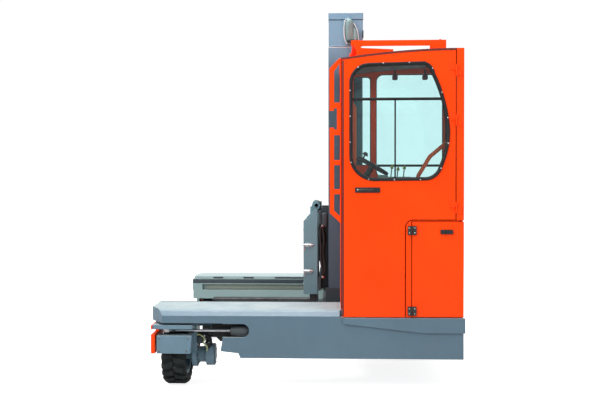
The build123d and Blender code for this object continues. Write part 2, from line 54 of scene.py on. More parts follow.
# ================================================================ mesh helpers
class Build:
    """Collects shapes into one mesh piece."""

    def __init__(self):
        self.bm = bmesh.new()

    def box(self, x0, x1, y0, y1, z0, z1, bev=0.0, seg=2, turn=None):
        g = bmesh.ops.create_cube(self.bm, size=1.0)
        vs = g["verts"]
        c = Vector(((x0 + x1) / 2, (y0 + y1) / 2, (z0 + z1) / 2))
        d = Vector((abs(x1 - x0), abs(y1 - y0), abs(z1 - z0)))
        for v in vs:
            p = Vector((v.co.x * d.x, v.co.y * d.y, v.co.z * d.z))
            if turn is not None:
                p = turn @ p
            v.co = c + p
        if bev > 0:
            es = list({e for v in vs for e in v.link_edges})
            bmesh.ops.bevel(self.bm, geom=es, offset=bev, segments=seg, profile=0.5, affect="EDGES")
        return self

    def cyl(self, p, axis, r, h, seg=28, r2=None, bev=0.0):
        a = Vector(axis).normalized()
        m = Matrix.Translation(Vector(p) + a * (h / 2)) @ a.to_track_quat("Z", "Y").to_matrix().to_4x4()
        g = bmesh.ops.create_cone(self.bm, cap_ends=True, cap_tris=False, segments=seg, radius1=r,
                                  radius2=r if r2 is None else r2, depth=h, matrix=m)
        if bev > 0:
            es = [e for e in {e for v in g["verts"] for e in v.link_edges}
                  if len(e.link_faces) == 2 and max(len(f.verts) for f in e.link_faces) > 4]
            bmesh.ops.bevel(self.bm, geom=es, offset=bev, segments=2, profile=0.5, affect="EDGES")
        return self

    def bolt(self, p, axis, r=0.009, h=0.007):
        a = Vector(axis).normalized()
        self.cyl(p, a, r * 1.45, h * 0.25, seg=20)
        self.cyl(Vector(p) + a * (h * 0.25), a, r, h * 0.75, seg=6, bev=r * 0.12)
        return self

    def dome(self, p, axis, r, h, seg=18):
        # low round head
        a = Vector(axis).normalized()
        q = a.to_track_quat("Z", "Y").to_matrix()
        rings = []
        for k in range(5):
            t = k / 5 * math.pi / 2
            rr, hh = r * math.cos(t), h * math.sin(t)
            rings.append([self.bm.verts.new(Vector(p) + q @ Vector((rr * math.cos(2 * math.pi * i / seg),
                                                                    rr * math.sin(2 * math.pi * i / seg), hh)))
                          for i in range(seg)])
        tip = self.bm.verts.new(Vector(p) + a * h)
        for a0, b0 in zip(rings, rings[1:]):
            for i in range(seg):
                j = (i + 1) % seg
                self.bm.faces.new((a0[i], a0[j], b0[j], b0[i]))
        for i in range(seg):
            self.bm.faces.new((rings[-1][i], rings[-1][(i + 1) % seg], tip))
        self.bm.faces.new(list(reversed(rings[0])))
        return self

    def tube(self, pts, r, seg=12, closed=False):
        pts = [Vector(p) for p in pts]
        n = len(pts)
        tan = []
        for i in range(n):
            if closed:
                t = pts[(i + 1) % n] - pts[i - 1]
            else:
                t = pts[min(i + 1, n - 1)] - pts[max(i - 1, 0)]
            tan.append(t.normalized())
        up = Vector((0, 0, 1)) if abs(tan[0].z) < 0.9 else Vector((0, 1, 0))
        u = (up - tan[0] * up.dot(tan[0])).normalized()
        rings = []
        for i in range(n):
            u = (u - tan[i] * u.dot(tan[i])).normalized()
            w = tan[i].cross(u)
            rings.append([self.bm.verts.new(pts[i] + (u * math.cos(2 * math.pi * k / seg)
                                                      + w * math.sin(2 * math.pi * k / seg)) * r)
                          for k in range(seg)])
        last = n if closed else n - 1
        for i in range(last):
            a0, b0 = rings[i], rings[(i + 1) % n]
            for k in range(seg):
                j = (k + 1) % seg
                self.bm.faces.new((a0[k], a0[j], b0[j], b0[k]))
        if not closed:
            self.bm.faces.new(list(reversed(rings[0])))
            self.bm.faces.new(rings[-1])
        return self

    def prism(self, pts, y0, y1):
        # plate with an outline of (x, z) points between two y values
        a0 = [self.bm.verts.new((x, y0, z)) for x, z in pts]
        b0 = [self.bm.verts.new((x, y1, z)) for x, z in pts]
        n = len(pts)
        for i in range(n):
            j = (i + 1) % n
            self.bm.faces.new((a0[i], a0[j], b0[j], b0[i]))
        self.bm.faces.new(list(reversed(a0)))
        self.bm.faces.new(b0)
        return self

    def ring(self, path, place, profile, inward=1.0):
        """Closed seal: path is a closed list of plane points (a, b), profile a list of
        (inset, height) pairs, place(a, b, h) gives the point in space."""
        n = len(path)
        pts = [Vector(p) for p in path]
        area = sum(pts[i].x * pts[(i + 1) % n].y - pts[(i + 1) % n].x * pts[i].y for i in range(n))
        s = 1.0 if area > 0 else -1.0
        rows = []
        for i in range(n):
            t = (pts[(i + 1) % n] - pts[i - 1]).normalized()
            nrm = Vector((-t.y, t.x)) * s * inward
            rows.append([self.bm.verts.new(Vector(place(pts[i].x + nrm.x * a, pts[i].y + nrm.y * a, h)))
                         for a, h in profile])
        m = len(profile)
        for i in range(n):
            a0, b0 = rows[i], rows[(i + 1) % n]
            for k in range(m):
                j = (k + 1) % m
                self.bm.faces.new((a0[k], a0[j], b0[j], b0[k]))
        return self

    def revolve(self, centre, profile, seg=72, closed=False):
        """profile of (x, r) pairs turned about the X axis through centre."""
        c = Vector(centre)
        rows = []
        for i in range(seg):
            a = 2 * math.pi * i / seg
            rows.append([self.bm.verts.new(c + Vector((x, r * math.cos(a), r * math.sin(a)))) for x, r in profile])
        m = len(profile)
        for i in range(seg):
            a0, b0 = rows[i], rows[(i + 1) % seg]
            for k in range(m if closed else m - 1):
                j = (k + 1) % m
                self.bm.faces.new((a0[k], a0[j], b0[j], b0[k]))
        return self

    def make(self, name, mat, body, angle=38.0):
        bmesh.ops.recalc_face_normals(self.bm, faces=self.bm.faces[:])
        me = bpy.data.meshes.new(name)
        self.bm.to_mesh(me)
        self.bm.free()
        me.polygons.foreach_set("use_smooth", [True] * len(me.polygons))
        me.set_sharp_from_angle(angle=math.radians(angle))
        o = bpy.data.objects.new(name, me)
        scene.collection.objects.link(o)
        me.materials.append(mat)
        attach(o, body)
        return o


def smooth_line(pts, per=10):
    """Points along a smooth curve through pts."""
    pts = [Vector(p) for p in pts]
    out = []
    n = len(pts)
    for i in range(n - 1):
        p0, p1, p2, p3 = pts[max(i - 1, 0)], pts[i], pts[i + 1], pts[min(i + 2, n - 1)]
        for k in range(per):
            t = k / per
            out.append(0.5 * ((2 * p1) + (p2 - p0) * t + (2 * p0 - 5 * p1 + 4 * p2 - p3) * t * t
                              + (3 * p1 - p0 - 3 * p2 + p3) * t ** 3))
    out.append(pts[-1])
    return out


def arc3(p1, p2, p3, n=10):
    """n + 1 points on the arc through three plane points, the last left out."""
    (x1, y1), (x2, y2), (x3, y3) = p1, p2, p3
    d = 2 * (x1 * (y2 - y3) + x2 * (y3 - y1) + x3 * (y1 - y2))
    ux = ((x1 * x1 + y1 * y1) * (y2 - y3) + (x2 * x2 + y2 * y2) * (y3 - y1) + (x3 * x3 + y3 * y3) * (y1 - y2)) / d
    uy = ((x1 * x1 + y1 * y1) * (x3 - x2) + (x2 * x2 + y2 * y2) * (x1 - x3) + (x3 * x3 + y3 * y3) * (x2 - x1)) / d
    r = math.hypot(x1 - ux, y1 - uy)
    a1 = math.atan2(y1 - uy, x1 - ux)
    a2 = math.atan2(y2 - uy, x2 - ux)
    a3 = math.atan2(y3 - uy, x3 - ux)
    sweep = (a3 - a1) % (2 * math.pi)
    if (a2 - a1) % (2 * math.pi) > sweep:
        sweep -= 2 * math.pi
    return [(ux + r * math.cos(a1 + sweep * k / n), uy + r * math.sin(a1 + sweep * k / n)) for k in range(n)]


def straight(p, q, n=6):
    return [(p[0] + (q[0] - p[0]) * k / n, p[1] + (q[1] - p[1]) * k / n) for k in range(n)]


def round_rect(a0, a1, b0, b1, r, n=6):
    out = []
    for ca, cb, s in ((a1 - r, b1 - r, 0), (a0 + r, b1 - r, 90), (a0 + r, b0 + r, 180), (a1 - r, b0 + r, 270)):
        for k in range(n + 1):
            t = math.radians(s + 90 * k / n)
            out.append((ca + r * math.cos(t), cb + r * math.sin(t)))
    return out


def top_z(x):
    (x1, z1), (x2, z2), (x3, z3) = TOP_LINE
    return (z1 * (x - x2) * (x - x3) / ((x1 - x2) * (x1 - x3)) + z2 * (x - x1) * (x - x3) / ((x2 - x1) * (x2 - x3))
            + z3 * (x - x1) * (x - x2) / ((x3 - x1) * (x3 - x2)))


# ================================================================ materials
def base(name):
    m = bpy.data.materials.new(name)
    m.use_nodes = True
    nt = m.node_tree
    return m, nt, nt.nodes["Principled BSDF"]


def node(nt, kind, **props):
    n = nt.nodes.new(kind)
    for k, v in props.items():
        setattr(n, k, v)
    return n


def noise(nt, vec, scale, detail=4.0, rough=0.55, distort=0.0):
    n = node(nt, "ShaderNodeTexNoise")
    n.inputs["Scale"].default_value = scale
    n.inputs["Detail"].default_value = detail
    n.inputs["Roughness"].default_value = rough
    n.inputs["Distortion"].default_value = distort
    nt.links.new(vec, n.inputs["Vector"])
    return n.outputs["Fac"]


def ramp(nt, fac, stops):
    n = node(nt, "ShaderNodeValToRGB")
    cr = n.color_ramp
    while len(cr.elements) > 1:
        cr.elements.remove(cr.elements[-1])
    cr.elements[0].position, cr.elements[0].color = stops[0]
    for p, c in stops[1:]:
        e = cr.elements.new(p)
        e.color = c
    nt.links.new(fac, n.inputs["Fac"])
    return n.outputs["Color"]


def grey(v):
    return (v, v, v, 1.0)


def spread(nt, fac, lo, hi, a=0.0, b=1.0):
    n = node(nt, "ShaderNodeMapRange")
    n.inputs["From Min"].default_value = a
    n.inputs["From Max"].default_value = b
    n.inputs["To Min"].default_value = lo
    n.inputs["To Max"].default_value = hi
    nt.links.new(fac, n.inputs["Value"])
    return n.outputs["Result"]


def mix(nt, fac, a, b, kind="MIX"):
    n = node(nt, "ShaderNodeMix", data_type="RGBA", blend_type=kind)
    if isinstance(fac, float):
        n.inputs[0].default_value = fac
    else:
        nt.links.new(fac, n.inputs[0])
    for s, v in ((6, a), (7, b)):
        if isinstance(v, tuple):
            n.inputs[s].default_value = v
        else:
            nt.links.new(v, n.inputs[s])
    return n.outputs[2]


def calc(nt, op, a, b=None):
    n = node(nt, "ShaderNodeMath", operation=op)
    for i, v in enumerate((a, b)):
        if v is None:
            continue
        if isinstance(v, float):
            n.inputs[i].default_value = v
        else:
            nt.links.new(v, n.inputs[i])
    return n.outputs[0]


def coords(nt):
    return node(nt, "ShaderNodeTexCoord").outputs["Object"]


def bump(nt, height, strength, dist, normal=None):
    n = node(nt, "ShaderNodeBump")
    n.inputs["Strength"].default_value = strength
    n.inputs["Distance"].default_value = dist
    nt.links.new(height, n.inputs["Height"])
    if normal is not None:
        nt.links.new(normal, n.inputs["Normal"])
    return n.outputs["Normal"]


def edge_parts(nt, radius):
    """Rounded normal and a mask of the sharp edges."""
    b = node(nt, "ShaderNodeBevel", samples=6)
    b.inputs["Radius"].default_value = radius
    g = node(nt, "ShaderNodeNewGeometry")
    d = node(nt, "ShaderNodeVectorMath", operation="DOT_PRODUCT")
    nt.links.new(b.outputs[0], d.inputs[0])
    nt.links.new(g.outputs["Normal"], d.inputs[1])
    return b.outputs[0], spread(nt, d.outputs["Value"], 1.0, 0.0, 0.80, 0.995)


def paint(name, colour, second, rough, coat, wear, dirt=(0.12, 0.11, 0.095, 1), dirt_top=0.75, dirt_amount=0.35,
          peel=0.035, radius=0.004, wear_amount=0.55, spec=0.35, top=None, lit_top_gradient=None):
    m, nt, b = base(name)
    v = coords(nt)
    n_norm, edge = edge_parts(nt, radius)
    big = noise(nt, v, 1.7, 3)
    fine = noise(nt, v, 38.0, 5)
    col = mix(nt, spread(nt, big, 0.0, 1.0, 0.35, 0.68), colour, second)
    # faint streaks running down
    sx = node(nt, "ShaderNodeMapping")
    sx.inputs["Scale"].default_value = (26.0, 26.0, 1.3)
    nt.links.new(v, sx.inputs["Vector"])
    streak = noise(nt, sx.outputs[0], 1.0, 4)
    if lit_top_gradient is not None:
        # painted light: the colour turns lighter toward a given height, standing for the light on the upper part
        hz = node(nt, "ShaderNodeSeparateXYZ")
        nt.links.new(v, hz.inputs[0])
        col = mix(nt, spread(nt, hz.outputs["Z"], 0.0, 1.0, lit_top_gradient[1], lit_top_gradient[2]), col, lit_top_gradient[0])
    col = mix(nt, spread(nt, streak, 0.0, 0.16, 0.52, 0.78), col, dirt)
    # road dust low down
    xyz = node(nt, "ShaderNodeSeparateXYZ")
    nt.links.new(v, xyz.inputs[0])
    low = spread(nt, xyz.outputs["Z"], 1.0, 0.0, 0.02, dirt_top)
    dust = calc(nt, "MULTIPLY", low, spread(nt, noise(nt, v, 9.0, 6, 0.65), 0.1, 1.0, 0.38, 0.72))
    col = mix(nt, calc(nt, "MULTIPLY", dust, dirt_amount), col, dirt)
    # bare and rubbed edges
    rub = calc(nt, "MULTIPLY", edge, spread(nt, noise(nt, v, 21.0, 6, 0.7), 0.0, wear_amount, 0.5, 0.72))
    col = mix(nt, rub, col, wear)
    if top is not None:
        # faces that look up are mixed toward the given top colour: a painted sky sheen on the upper faces, with some
        # pale dust
        tg = node(nt, "ShaderNodeNewGeometry")
        tz = node(nt, "ShaderNodeSeparateXYZ")
        nt.links.new(tg.outputs["Normal"], tz.inputs[0])
        up_sheen_dust = calc(nt, "MULTIPLY", spread(nt, tz.outputs["Z"], 0.0, 1.0, 0.74, 1.0), spread(nt, noise(nt, v, 5.0, 6, 0.6), 0.72, 1.0, 0.35, 0.6))
        col = mix(nt, calc(nt, "MULTIPLY", up_sheen_dust, top[1]), col, top[0])
    nt.links.new(col, b.inputs["Base Color"])
    b.inputs["Specular IOR Level"].default_value = spec
    r = spread(nt, fine, rough - 0.05, rough + 0.09, 0.3, 0.7)
    r = calc(nt, "ADD", r, calc(nt, "MULTIPLY", dust, 0.25))
    nt.links.new(r, b.inputs["Roughness"])
    b.inputs["Coat Weight"].default_value = coat
    b.inputs["Coat Roughness"].default_value = 0.12
    h = noise(nt, v, 420.0, 2)
    nt.links.new(bump(nt, h, peel, 0.002, n_norm), b.inputs["Normal"])
    return m


def steel(name, colour, rough, metallic=1.0, brush=(4.0, 220.0, 220.0), radius=0.003, dark=(0.02, 0.02, 0.022, 1), grime=0.6):
    m, nt, b = base(name)
    v = coords(nt)
    n_norm, edge = edge_parts(nt, radius)
    mp = node(nt, "ShaderNodeMapping")
    mp.inputs["Scale"].default_value = brush
    nt.links.new(v, mp.inputs["Vector"])
    lines = noise(nt, mp.outputs[0], 1.0, 3)
    spots = noise(nt, v, 11.0, 6, 0.65)
    col = mix(nt, spread(nt, spots, 0.0, grime, 0.42, 0.72), colour, dark)
    col = mix(nt, calc(nt, "MULTIPLY", edge, 0.5), col, (0.55, 0.55, 0.56, 1))
    nt.links.new(col, b.inputs["Base Color"])
    nt.links.new(calc(nt, "ADD", spread(nt, lines, rough - 0.07, rough + 0.1, 0.3, 0.7),
                      spread(nt, spots, 0.0, 0.18, 0.45, 0.7)), b.inputs["Roughness"])
    b.inputs["Metallic"].default_value = metallic
    nt.links.new(bump(nt, lines, 0.06, 0.001, n_norm), b.inputs["Normal"])
    return m


def plastic(name, colour, rough, grain=900.0, radius=0.002, dusty=(0.11, 0.105, 0.1, 1), amount=0.25, strength=0.12, spec=0.4):
    m, nt, b = base(name)
    b.inputs["Specular IOR Level"].default_value = spec
    v = coords(nt)
    n_norm, edge = edge_parts(nt, radius)
    spots = noise(nt, v, 14.0, 6, 0.6)
    col = mix(nt, spread(nt, spots, 0.0, amount, 0.42, 0.75), colour, dusty)
    nt.links.new(col, b.inputs["Base Color"])
    g = noise(nt, v, grain, 3)
    nt.links.new(spread(nt, g, rough - 0.07, rough + 0.1, 0.3, 0.7), b.inputs["Roughness"])
    nt.links.new(bump(nt, g, strength, 0.0008, n_norm), b.inputs["Normal"])
    return m


def tyre_mat(name):
    m, nt, b = base(name)
    v = coords(nt)
    a = noise(nt, v, 17.0, 7, 0.65)
    col = ramp(nt, a, [(0.3, (0.005, 0.0065, 0.0065, 1)), (0.55, (0.011, 0.0145, 0.0145, 1)), (0.78, (0.034, 0.038, 0.036, 1))])
    b.inputs["Specular IOR Level"].default_value = 0.22
    nt.links.new(col, b.inputs["Base Color"])
    f = noise(nt, v, 260.0, 5)
    nt.links.new(spread(nt, f, 0.62, 0.86, 0.3, 0.7), b.inputs["Roughness"])
    nt.links.new(bump(nt, f, 0.35, 0.0015), b.inputs["Normal"])
    return m


def glass_mat(name, tint, haze=0.015):
    m = bpy.data.materials.new(name)
    m.use_nodes = True
    nt = m.node_tree
    nt.nodes.clear()
    out = node(nt, "ShaderNodeOutputMaterial")
    clear = node(nt, "ShaderNodeBsdfTransparent")
    shine = node(nt, "ShaderNodeBsdfGlossy")
    v = coords(nt)
    smear = noise(nt, v, 3.2, 6, 0.62, 0.6)
    col = mix(nt, spread(nt, smear, 0.0, 1.0, 0.35, 0.7), tint, tuple([c * 0.978 for c in tint[:3]] + [1.0]))
    nt.links.new(col, clear.inputs["Color"])
    nt.links.new(spread(nt, smear, 0.02, 0.10, 0.4, 0.75), shine.inputs["Roughness"])
    shine.inputs["Color"].default_value = (0.95, 0.98, 1.0, 1)
    fr = node(nt, "ShaderNodeFresnel")
    fr.inputs["IOR"].default_value = 1.45
    ms = node(nt, "ShaderNodeMixShader")
    nt.links.new(calc(nt, "ADD", fr.outputs[0], spread(nt, smear, 0.0, haze, 0.45, 0.8)), ms.inputs[0])
    nt.links.new(clear.outputs[0], ms.inputs[1])
    nt.links.new(shine.outputs[0], ms.inputs[2])
    nt.links.new(ms.outputs[0], out.inputs["Surface"])
    return m


def cloth_mat(name, colour, second):
    m, nt, b = base(name)
    v = coords(nt)
    w1 = node(nt, "ShaderNodeTexWave", wave_type="BANDS", bands_direction="X")
    w2 = node(nt, "ShaderNodeTexWave", wave_type="BANDS", bands_direction="Y")
    w3 = node(nt, "ShaderNodeTexWave", wave_type="BANDS", bands_direction="Z")
    for w in (w1, w2, w3):
        w.inputs["Scale"].default_value = 160.0
        w.inputs["Distortion"].default_value = 0.6
        nt.links.new(v, w.inputs["Vector"])
    weave = calc(nt, "MULTIPLY", calc(nt, "ADD", w1.outputs["Fac"], w3.outputs["Fac"]), w2.outputs["Fac"])
    col = mix(nt, spread(nt, weave, 0.0, 1.0, 0.0, 1.6), colour, second)
    col = mix(nt, spread(nt, noise(nt, v, 12.0, 5), 0.0, 0.35, 0.45, 0.8), col, (0.07, 0.07, 0.07, 1))
    nt.links.new(col, b.inputs["Base Color"])
    b.inputs["Roughness"].default_value = 0.88
    b.inputs["Sheen Weight"].default_value = 0.25
    nt.links.new(bump(nt, weave, 0.4, 0.0012), b.inputs["Normal"])
    return m


def floor_mat(name):
    m, nt, b = base(name)
    v = coords(nt)
    col = mix(nt, spread(nt, noise(nt, v, 0.8, 3), 0.0, 1.0, 0.3, 0.7), (0.42, 0.42, 0.42, 1), (0.44, 0.44, 0.44, 1))
    nt.links.new(col, b.inputs["Base Color"])
    b.inputs["Roughness"].default_value = 0.9
    b.inputs["Specular IOR Level"].default_value = 0.0
    b.inputs["Emission Color"].default_value = (1, 1, 1, 1)
    lp = node(nt, "ShaderNodeLightPath")
    nt.links.new(spread(nt, lp.outputs["Is Camera Ray"], 0.30, 0.86), b.inputs["Emission Strength"])
    return m


M_ORANGE = paint("orange_enamel", (0.93, 0.052, 0.0012, 1), (0.96, 0.060, 0.0018, 1), 0.34, 0.03, (0.66, 0.15, 0.06, 1),
                 dirt=(0.40, 0.040, 0.008, 1), dirt_top=0.9, dirt_amount=0.20, peel=0.03, wear_amount=0.30, spec=0.12)
# the top colours given below are a painted sky sheen on upward faces, partly pale dust
M_GREY = paint("frame_enamel", (0.082, 0.142, 0.192, 1), (0.094, 0.158, 0.208, 1), 0.38, 0.06, (0.30, 0.36, 0.39, 1),
               dirt=(0.085, 0.110, 0.118, 1), dirt_top=0.62, dirt_amount=0.5, radius=0.006, top=((0.40, 0.475, 0.475, 1), 0.72))
M_HUB = paint("wheel_bracket_enamel", (0.104, 0.182, 0.240, 1), (0.118, 0.200, 0.258, 1), 0.36, 0.06, (0.32, 0.38, 0.41, 1),
              dirt=(0.090, 0.120, 0.130, 1), dirt_top=0.55, dirt_amount=0.45, radius=0.005, top=((0.36, 0.43, 0.43, 1), 0.6))
# the same grey paint as the near arm, made paler to stand for the light the far arm gets: painted light
M_GREY_LIT = paint("far_arm_enamel_lit", (0.190, 0.275, 0.280, 1), (0.215, 0.300, 0.300, 1), 0.40, 0.06, (0.32, 0.38, 0.40, 1),
                  dirt=(0.22, 0.26, 0.24, 1), dirt_top=0.62, dirt_amount=0.5, radius=0.006, top=((0.17, 0.205, 0.208, 1), 0.75))
# the frame grey made much paler to stand for the light on the plate's top: painted light
M_DECK_LIT = paint("load_plate_enamel_lit", (0.300, 0.395, 0.405, 1), (0.330, 0.425, 0.430, 1), 0.46, 0.04, (0.45, 0.50, 0.50, 1),
               dirt=(0.22, 0.26, 0.26, 1), dirt_top=0.62, dirt_amount=0.3, radius=0.004, top=((0.36, 0.435, 0.435, 1), 0.75))
M_FRAME = paint("fork_frame_enamel", (0.118, 0.222, 0.262, 1), (0.132, 0.245, 0.288, 1), 0.36, 0.08, (0.42, 0.48, 0.50, 1),
                dirt=(0.10, 0.13, 0.14, 1), dirt_top=0.9, dirt_amount=0.3, radius=0.005, top=((0.55, 0.58, 0.56, 1), 0.85))
# the mast paint turns lighter toward its head: painted light falling from above
M_MAST = paint("mast_enamel", (0.047, 0.079, 0.107, 1), (0.055, 0.091, 0.122, 1), 0.36, 0.06, (0.26, 0.31, 0.34, 1),
               dirt=(0.036, 0.042, 0.050, 1), dirt_top=1.2, dirt_amount=0.3, lit_top_gradient=((0.145, 0.255, 0.345, 1), 2.36, 2.68))
M_DARKGREY = paint("carriage_enamel", (0.028, 0.042, 0.052, 1), (0.036, 0.052, 0.062, 1), 0.42, 0.05, (0.20, 0.23, 0.24, 1),
                   dirt=(0.022, 0.024, 0.025, 1), dirt_top=1.2, dirt_amount=0.5)
M_FORK = steel("fork_steel", (0.075, 0.08, 0.085, 1), 0.46, 0.85)
M_BARE = steel("bright_steel", (0.58, 0.59, 0.60, 1), 0.30, 1.0, grime=0.3)
# the cab's orange paint made brighter to stand for light on the rails inside the cab: painted light
M_RAIL_LIT = paint("rail_enamel_lit", (0.98, 0.115, 0.022, 1), (1.0, 0.130, 0.028, 1), 0.32, 0.05, (0.7, 0.2, 0.1, 1),
               dirt=(0.5, 0.06, 0.015, 1), dirt_top=0.9, dirt_amount=0.1, peel=0.02, wear_amount=0.2, spec=0.3)
M_TRACK = paint("track_steel", (0.235, 0.275, 0.235, 1), (0.275, 0.310, 0.260, 1), 0.45, 0.0, (0.45, 0.47, 0.45, 1),
                dirt=(0.14, 0.15, 0.125, 1), dirt_top=0.9, dirt_amount=0.5)
M_CHROME = steel("rod_chrome", (0.72, 0.73, 0.75, 1), 0.14, 1.0, grime=0.1, radius=0.001)
M_ROD = steel("steering_rod_steel", (0.46, 0.47, 0.49, 1), 0.30, 1.0, grime=0.35, radius=0.002)
M_BLACK = plastic("black_plastic", (0.014, 0.014, 0.015, 1), 0.42)
M_RUBBER = plastic("black_rubber", (0.012, 0.012, 0.0125, 1), 0.62, grain=500.0, strength=0.2, dusty=(0.035, 0.036, 0.037, 1), spec=0.25)
M_HOSE = plastic("hose_rubber", (0.014, 0.015, 0.016, 1), 0.50, grain=700.0, dusty=(0.05, 0.052, 0.054, 1), spec=0.3)
M_HOOD = plastic("hose_sleeve", (0.150, 0.235, 0.240, 1), 0.36, grain=120.0, dusty=(0.10, 0.16, 0.165, 1), amount=0.4)
M_HOSE_L = plastic("pale_hose", (0.42, 0.47, 0.49, 1), 0.42, dusty=(0.25, 0.28, 0.30, 1), amount=0.5)
# dark red: the cab's orange paint in shade, a painted shade used for the ceiling, the lamp housings and the dark strips
# at the door and roof edges
M_SHADED_ORANGE = plastic("roof_painted_shade", (0.115, 0.016, 0.013, 1), 0.6, grain=300.0, strength=0.4, dusty=(0.09, 0.02, 0.016, 1))
M_BOOT = plastic("boot_rubber", (0.050, 0.062, 0.066, 1), 0.5, grain=400.0, dusty=(0.08, 0.092, 0.095, 1))
M_LEAD = plastic("lead_sheath", (0.42, 0.45, 0.22, 1), 0.45, dusty=(0.2, 0.21, 0.13, 1))
M_YELLOW = plastic("knob_yellow", (0.45, 0.50, 0.10, 1), 0.4)
M_PALE = plastic("pale_panel", (0.34, 0.42, 0.40, 1), 0.45, dusty=(0.25, 0.30, 0.29, 1))
M_TYRE = tyre_mat("tyre_rubber")
M_GLASS = glass_mat("clear_glass", (0.885, 0.996, 0.997, 1.0))
M_SEAT = cloth_mat("seat_cloth", (0.018, 0.018, 0.020, 1), (0.05, 0.05, 0.054, 1))
M_FLOOR = floor_mat("pale_floor")
M_SCREEN = plastic("dark_screen", (0.008, 0.012, 0.016, 1), 0.12, grain=60.0, strength=0.02)

WEAR = {
    M_ORANGE: ["cab_roof", "cab_front_wall", "cab_inner_wall", "cab_rear_wall", "seat_deck", "roof_guard", "mast_side_guard",
               "cab_door", "compartment_door", "cab_hinges", "door_hinges", "wheel_guard_near", "wheel_guard_far", "wheel_guard_rear"],
    M_GREY_LIT: ["far_arm"],
    M_DECK_LIT: ["far_deck_plate"],
    M_HUB: ["knuckle_near", "knuckle_far", "knuckle_rear"],
    M_FRAME: ["fork_frame"],
    M_RAIL_LIT: ["grab_rails"],
    M_ROD: ["steer_rod_near", "steer_rod_far"],
    M_GREY: ["near_arm", "rear_crossmember", "step_bumpers", "steer_barrels", "battery_hood",
             "rim_near", "rim_far", "rim_rear"],
    M_MAST: ["outer_mast", "lift_cylinders", "inner_mast"],
    M_DARKGREY: ["reach_carriage", "lift_carriage", "battery_block"],
    M_FORK: ["fork_near", "fork_far"],
    M_CHROME: ["lift_rods"],
    M_BLACK: ["steering_console", "cab_steering_wheel", "compartment_hinges", "door_handle", "compartment_fittings", "hose_sheave"],
    M_RUBBER: ["cab_floor", "door_window_frame"],
    M_TYRE: ["tyre_near", "tyre_far", "tyre_rear"],
    M_GLASS: ["cab_glass", "door_glass"],
    M_SEAT: ["seat_cushion", "seat_back"],
}
for mat, names in WEAR.items():
    for n in names:
        o = NODES[n]
        o.data.materials.clear()
        o.data.materials.append(mat)


# ================================================================ wheels
def tyre(name, cx, cy, body):
    b = Build()
    c = Vector((cx, cy, TYRE_R))
    w = TYRE_W / 2
    prof = [(-w + 0.006, RIM_R), (-w + 0.001, RIM_R + 0.012), (-w, RIM_R + 0.030), (-w + 0.003, 0.190), (-w + 0.014, 0.200),
            (-w + 0.030, 0.2045), (0.0, 0.206), (w - 0.030, 0.2045), (w - 0.014, 0.200), (w - 0.003, 0.190),
            (w, RIM_R + 0.030), (w - 0.001, RIM_R + 0.012), (w - 0.006, RIM_R)]
    b.revolve(c, prof, seg=96)
    # staggered lugs from the middle to the shoulder
    count, cols = 19, 6
    for side in (-1, 1):
        for i in range(count):
            a0 = 2 * math.pi * (i + (0.5 if side > 0 else 0.0)) / count
            rows = []
            for k in range(cols + 1):
                x = 0.004 + (w - 0.0015 - 0.004) * k / cols
                lean = 0.10 * (k / cols)
                half = 0.105 - 0.012 * (k / cols)
                top = 0.2219 if x < w - 0.026 else 0.2219 - (x - (w - 0.026)) * 0.75
                low = 0.198 if x < w - 0.02 else 0.188
                row = []
                for da, r in ((-half, low), (-half * 0.86, top), (half * 0.86, top), (half, low)):
                    a = a0 + lean + da
                    row.append(b.bm.verts.new(c + Vector((side * x, r * math.cos(a), r * math.sin(a)))))
                rows.append(row)
            for r0, r1 in zip(rows, rows[1:]):
                for j in range(4):
                    jj = (j + 1) % 4
                    b.bm.faces.new((r0[j], r0[jj], r1[jj], r1[j]))
            b.bm.faces.new(rows[0])
            b.bm.faces.new(list(reversed(rows[-1])))
    o = b.make(name, M_TYRE, body, 30)
    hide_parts("tyre_" + body.split("_")[1])
    return o


